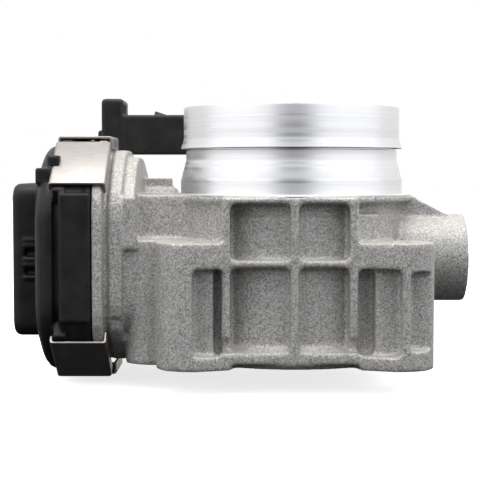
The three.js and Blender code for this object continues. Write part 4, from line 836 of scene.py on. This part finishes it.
class THROTTLE_OT_clips(bpy.types.Operator):
    """Rounds the bent spring clips that hold the cover on"""

    bl_idname = "throttle.clips"
    bl_label = "Spring clips"

    def execute(self, context):
        s = settings("clips")
        material = bright_steel("Spring steel strip", s.colour, 0.42)
        for number in range(1, len(CLIP_EDGES) + 1):
            node = f"cover_clip_{number}"
            clip = merged_copy(node, f"spring_clip_{number}")
            bm = bmesh.new()
            bm.from_mesh(clip.data)
            bmesh.ops.dissolve_limit(bm, angle_limit=math.radians(2), verts=bm.verts, edges=bm.edges)
            bends = [edge for edge in bm.edges if len(edge.link_faces) == 2]
            sharp = [edge for edge in bends if edge.calc_face_angle() > math.radians(50)]
            bmesh.ops.bevel(
                bm,
                geom=sharp,
                offset=0.00035,
                offset_type="OFFSET",
                affect="EDGES",
                segments=3,
                profile=0.5,
                material=-1,
                clamp_overlap=True,
            )
            bm.to_mesh(clip.data)
            bm.free()
            smooth(clip, 40)
            finish_piece(clip, "housing", material, "clip_steel", node)
        return {"FINISHED"}


class THROTTLE_OT_finishes(bpy.types.Operator):
    """Gives every solid that stays as it was built its own finish"""

    bl_idname = "throttle.finishes"
    bl_label = "Inner works finishes"

    def execute(self, context):
        steel = (0.62, 0.62, 0.63)
        cast, cast_shade = (0.5, 0.49, 0.475), (0.3, 0.295, 0.29)
        made = {
            "cast_aluminium": blasted_aluminium("Plug aluminium", cast, cast_shade, 0.0006),
            "turned_steel": bright_steel("Ground steel", steel, 0.24),
            "screw_steel": bright_steel("Zinc-plated steel", (0.66, 0.65, 0.6), 0.3),
            "plate_brass": bright_steel("Plate brass", (0.78, 0.58, 0.27), 0.28),
            "bearing_steel": bright_steel("Bearing steel", (0.5, 0.51, 0.53), 0.2),
            "seal_rubber": dull_solid("Seal rubber", (0.018, 0.018, 0.02), 0.7, 0.0004),
            "pale_nylon": dull_solid("Pale nylon", (0.66, 0.62, 0.5), 0.45, 0.0006, contrast=0.88),
            "pinion_brass": bright_steel("Pinion brass", (0.74, 0.53, 0.25), 0.3),
            "magnet_grey": dull_solid("Sintered magnet", (0.07, 0.07, 0.075), 0.5, 0.0003, 0.3),
            "spring_steel": bright_steel("Spring wire", (0.58, 0.56, 0.53), 0.3),
            "black_plastic": moulded_plastic("Black nylon", (0.022, 0.022, 0.023)),
            "motor_steel": bright_steel("Plated can steel", (0.6, 0.59, 0.55), 0.34),
            "bush_bronze": bright_steel("Sintered bronze", (0.6, 0.38, 0.2), 0.42),
            "armature_steel": bright_steel("Laminated steel", (0.42, 0.36, 0.32), 0.4),
            "carbon": dull_solid("Brush carbon", (0.03, 0.03, 0.032), 0.6, 0.0003),
            "tinned_metal": bright_steel("Tinned contacts", (0.72, 0.71, 0.68), 0.25),
            "board_green": printed_board("Circuit board"),
            "chip_black": dull_solid("Chip resin", (0.02, 0.02, 0.022), 0.5, 0.0003),
            "clip_steel": bright_steel("Clip strip", settings("clips").colour, 0.24),
        }
        slot_of = {row["node"]: row["material_slot"] for row in frame["record"]["subparts"]}
        for name, node in frame["nodes"].items():
            if node.hide_render:
                continue
            material = made[slot_of[name]]
            if not node.material_slots:
                node.data.materials.append(material)
            for slot in node.material_slots:
                slot.material = material
        return {"FINISHED"}


CAMERA_X = -0.0197
CAMERA_HEIGHT = 0.0708
CAMERA_TILT = 3.04  # degrees down from level

LAMPS = [
    # name, place, size, power, colour
    ("top box", (0.0, -0.15, 0.9), (0.9, 0.6), 7.0, (1.0, 0.99, 0.97)),
]

# Soft light by direction: azimuth from the front towards +X and elevation, in degrees, as
# (middle, half width) pairs, then strength and colour.
SOFT_BOXES = [
    ((-60.0, 42.0), (27.0, 30.0), 1.06, (1.0, 1.0, 1.0)),
    ((64.0, 44.0), (27.0, 30.0), 1.06, (0.985, 0.99, 1.0)),
    ((-140.0, 34.0), (24.0, 36.0), 0.72, (1.0, 0.97, 0.93)),
    ((145.0, 34.0), (24.0, 36.0), 0.85, (1.0, 0.98, 0.95)),
]


def studio_world():
    """A world of soft boxes left and right with a dark gap in front, seen as plain white."""
    world = bpy.data.worlds.new("Studio")
    world.use_nodes = True
    tree = world.node_tree

    def put(socket, value):
        if isinstance(value, bpy.types.NodeSocket):
            tree.links.new(value, socket)
        else:
            socket.default_value = value

    def math_node(kind, a, b=0.0):
        node = tree.nodes.new("ShaderNodeMath")
        node.operation = kind
        put(node.inputs[0], a)
        put(node.inputs[1], b)
        return node.outputs[0]

    def inside(angle, middle, half, soft):
        away = math_node("ABSOLUTE", math_node("SUBTRACT", angle, math.radians(middle)))
        node = tree.nodes.new("ShaderNodeMapRange")
        node.interpolation_type = "SMOOTHSTEP"
        put(node.inputs["Value"], away)
        node.inputs["From Min"].default_value = math.radians(half + soft)
        node.inputs["From Max"].default_value = math.radians(half - soft)
        return node.outputs["Result"]

    split = tree.nodes.new("ShaderNodeSeparateXYZ")
    put(split.inputs[0], tree.nodes.new("ShaderNodeTexCoord").outputs["Generated"])
    azimuth = math_node("ARCTAN2", split.outputs["X"], math_node("MULTIPLY", split.outputs["Y"], -1.0))
    elevation = math_node("ARCSINE", split.outputs["Z"])
    total = None
    for (middle, half), (height, half_height), strength, colour in SOFT_BOXES:
        across = inside(azimuth, middle, half, 5)
        share = math_node("MULTIPLY", across, inside(elevation, height, half_height, 9))
        background = tree.nodes.new("ShaderNodeBackground")
        background.inputs["Color"].default_value = colour + (1.0,)
        put(background.inputs["Strength"], math_node("MULTIPLY", share, strength))
        if total:
            both = tree.nodes.new("ShaderNodeAddShader")
            put(both.inputs[0], total)
            put(both.inputs[1], background.outputs[0])
            background = both
        total = background.outputs[0]
    # A low fill that fades towards the ground.
    fill = tree.nodes.new("ShaderNodeMapRange")
    put(fill.inputs["Value"], split.outputs["Z"])
    for socket, value in (("From Min", -0.1), ("From Max", 0.9), ("To Min", 0.02), ("To Max", 0.75)):
        fill.inputs[socket].default_value = value
    low = tree.nodes["Background"]
    low.inputs["Color"].default_value = (0.95, 0.97, 1.0, 1.0)
    put(low.inputs["Strength"], fill.outputs["Result"])
    both = tree.nodes.new("ShaderNodeAddShader")
    put(both.inputs[0], total)
    put(both.inputs[1], low.outputs[0])
    seen = tree.nodes.new("ShaderNodeBackground")
    seen.inputs["Color"].default_value = (1, 1, 1, 1)
    path = tree.nodes.new("ShaderNodeLightPath")
    mix = tree.nodes.new("ShaderNodeMixShader")
    put(mix.inputs["Fac"], path.outputs["Is Camera Ray"])
    put(mix.inputs[1], both.outputs[0])
    put(mix.inputs[2], seen.outputs[0])
    put(tree.nodes["World Output"].inputs["Surface"], mix.outputs[0])
    return world


class THROTTLE_OT_stage(bpy.types.Operator):
    """Sets the camera, the lamp, the world of soft boxes and the pale floor"""

    bl_idname = "throttle.stage"
    bl_label = "Stage"

    def execute(self, context):
        s = settings("stage")
        camera = bpy.data.cameras.new("camera")
        camera.lens = s.lens
        camera.sensor_width = 36
        camera.clip_start, camera.clip_end = 0.01, 20
        holder = bpy.data.objects.new("camera", camera)
        holder.location = (CAMERA_X, -s.distance, CAMERA_HEIGHT)
        holder.rotation_euler = (math.radians(90 - CAMERA_TILT), 0, 0)
        context.scene.collection.objects.link(holder)
        context.scene.camera = holder

        bm = bmesh.new()
        bmesh.ops.create_circle(bm, cap_ends=True, segments=64, radius=3)
        bmesh.ops.translate(bm, verts=bm.verts, vec=(0, 0, CAD_LOW.z - 0.0004))
        floor = new_object(bm, "floor")
        paint = Nodes("Pale floor", Roughness=0.9)
        paint.set("Base Color", paint.mixed(paint.noise(0.3), rgba(s.floor, 0.98), rgba(s.floor)))
        paint.set("Emission Color", (1, 1, 1, 1))
        paint.set("Emission Strength", 0.75)
        floor.data.materials.append(paint.material)
        floor.visible_glossy = False
        floor.visible_diffuse = False

        context.scene.world = studio_world()
        target = Vector((0, 0, 0.05))
        for name, place, size, power, colour in LAMPS:
            light = bpy.data.lights.new(name, "AREA")
            light.shape = "RECTANGLE"
            light.size, light.size_y = size
            light.energy = power
            light.color = colour
            lamp = bpy.data.objects.new(name, light)
            lamp.location = place
            lamp.rotation_euler = (target - Vector(place)).to_track_quat("-Z", "Y").to_euler()
            lamp.visible_camera = False
            context.scene.collection.objects.link(lamp)
        context.scene.view_settings.view_transform = "Standard"
        return {"FINISHED"}


class THROTTLE_PT_panel(bpy.types.Panel):
    """Lists the pieces of the throttle body"""

    bl_idname = "THROTTLE_PT_panel"
    bl_label = "Throttle body"
    bl_space_type = "VIEW_3D"
    bl_region_type = "UI"
    bl_category = "Throttle"

    def draw(self, context):
        for operator in OPERATORS:
            self.layout.operator(operator.bl_idname)
        for name in SETTINGS:
            group = settings(name)
            box = self.layout.box()
            for key in group.__annotations__:
                box.prop(group, key)


SETTINGS = {
    "casting": CastingSettings,
    "neck": NeckSettings,
    "cover": CoverSettings,
    "clips": ClipSettings,
    "stage": StageSettings,
}
OPERATORS = [
    THROTTLE_OT_casting,
    THROTTLE_OT_neck,
    THROTTLE_OT_cover,
    THROTTLE_OT_clips,
    THROTTLE_OT_finishes,
    THROTTLE_OT_stage,
]


def register():
    for group in SETTINGS.values():
        bpy.utils.register_class(group)
    for name, group in SETTINGS.items():
        setattr(bpy.types.Scene, "throttle_" + name, bpy.props.PointerProperty(type=group))
    for operator in OPERATORS:
        bpy.utils.register_class(operator)
    bpy.utils.register_class(THROTTLE_PT_panel)


def unregister():
    bpy.utils.unregister_class(THROTTLE_PT_panel)
    for operator in reversed(OPERATORS):
        bpy.utils.unregister_class(operator)
    for name, group in reversed(SETTINGS.items()):
        delattr(bpy.types.Scene, "throttle_" + name)
        bpy.utils.unregister_class(group)


def main():
    """Builds every piece in order."""
    register()
    for operator in OPERATORS:
        group, name = operator.bl_idname.split(".")
        getattr(getattr(bpy.ops, group), name)()


if __name__ == "__main__":
    main()
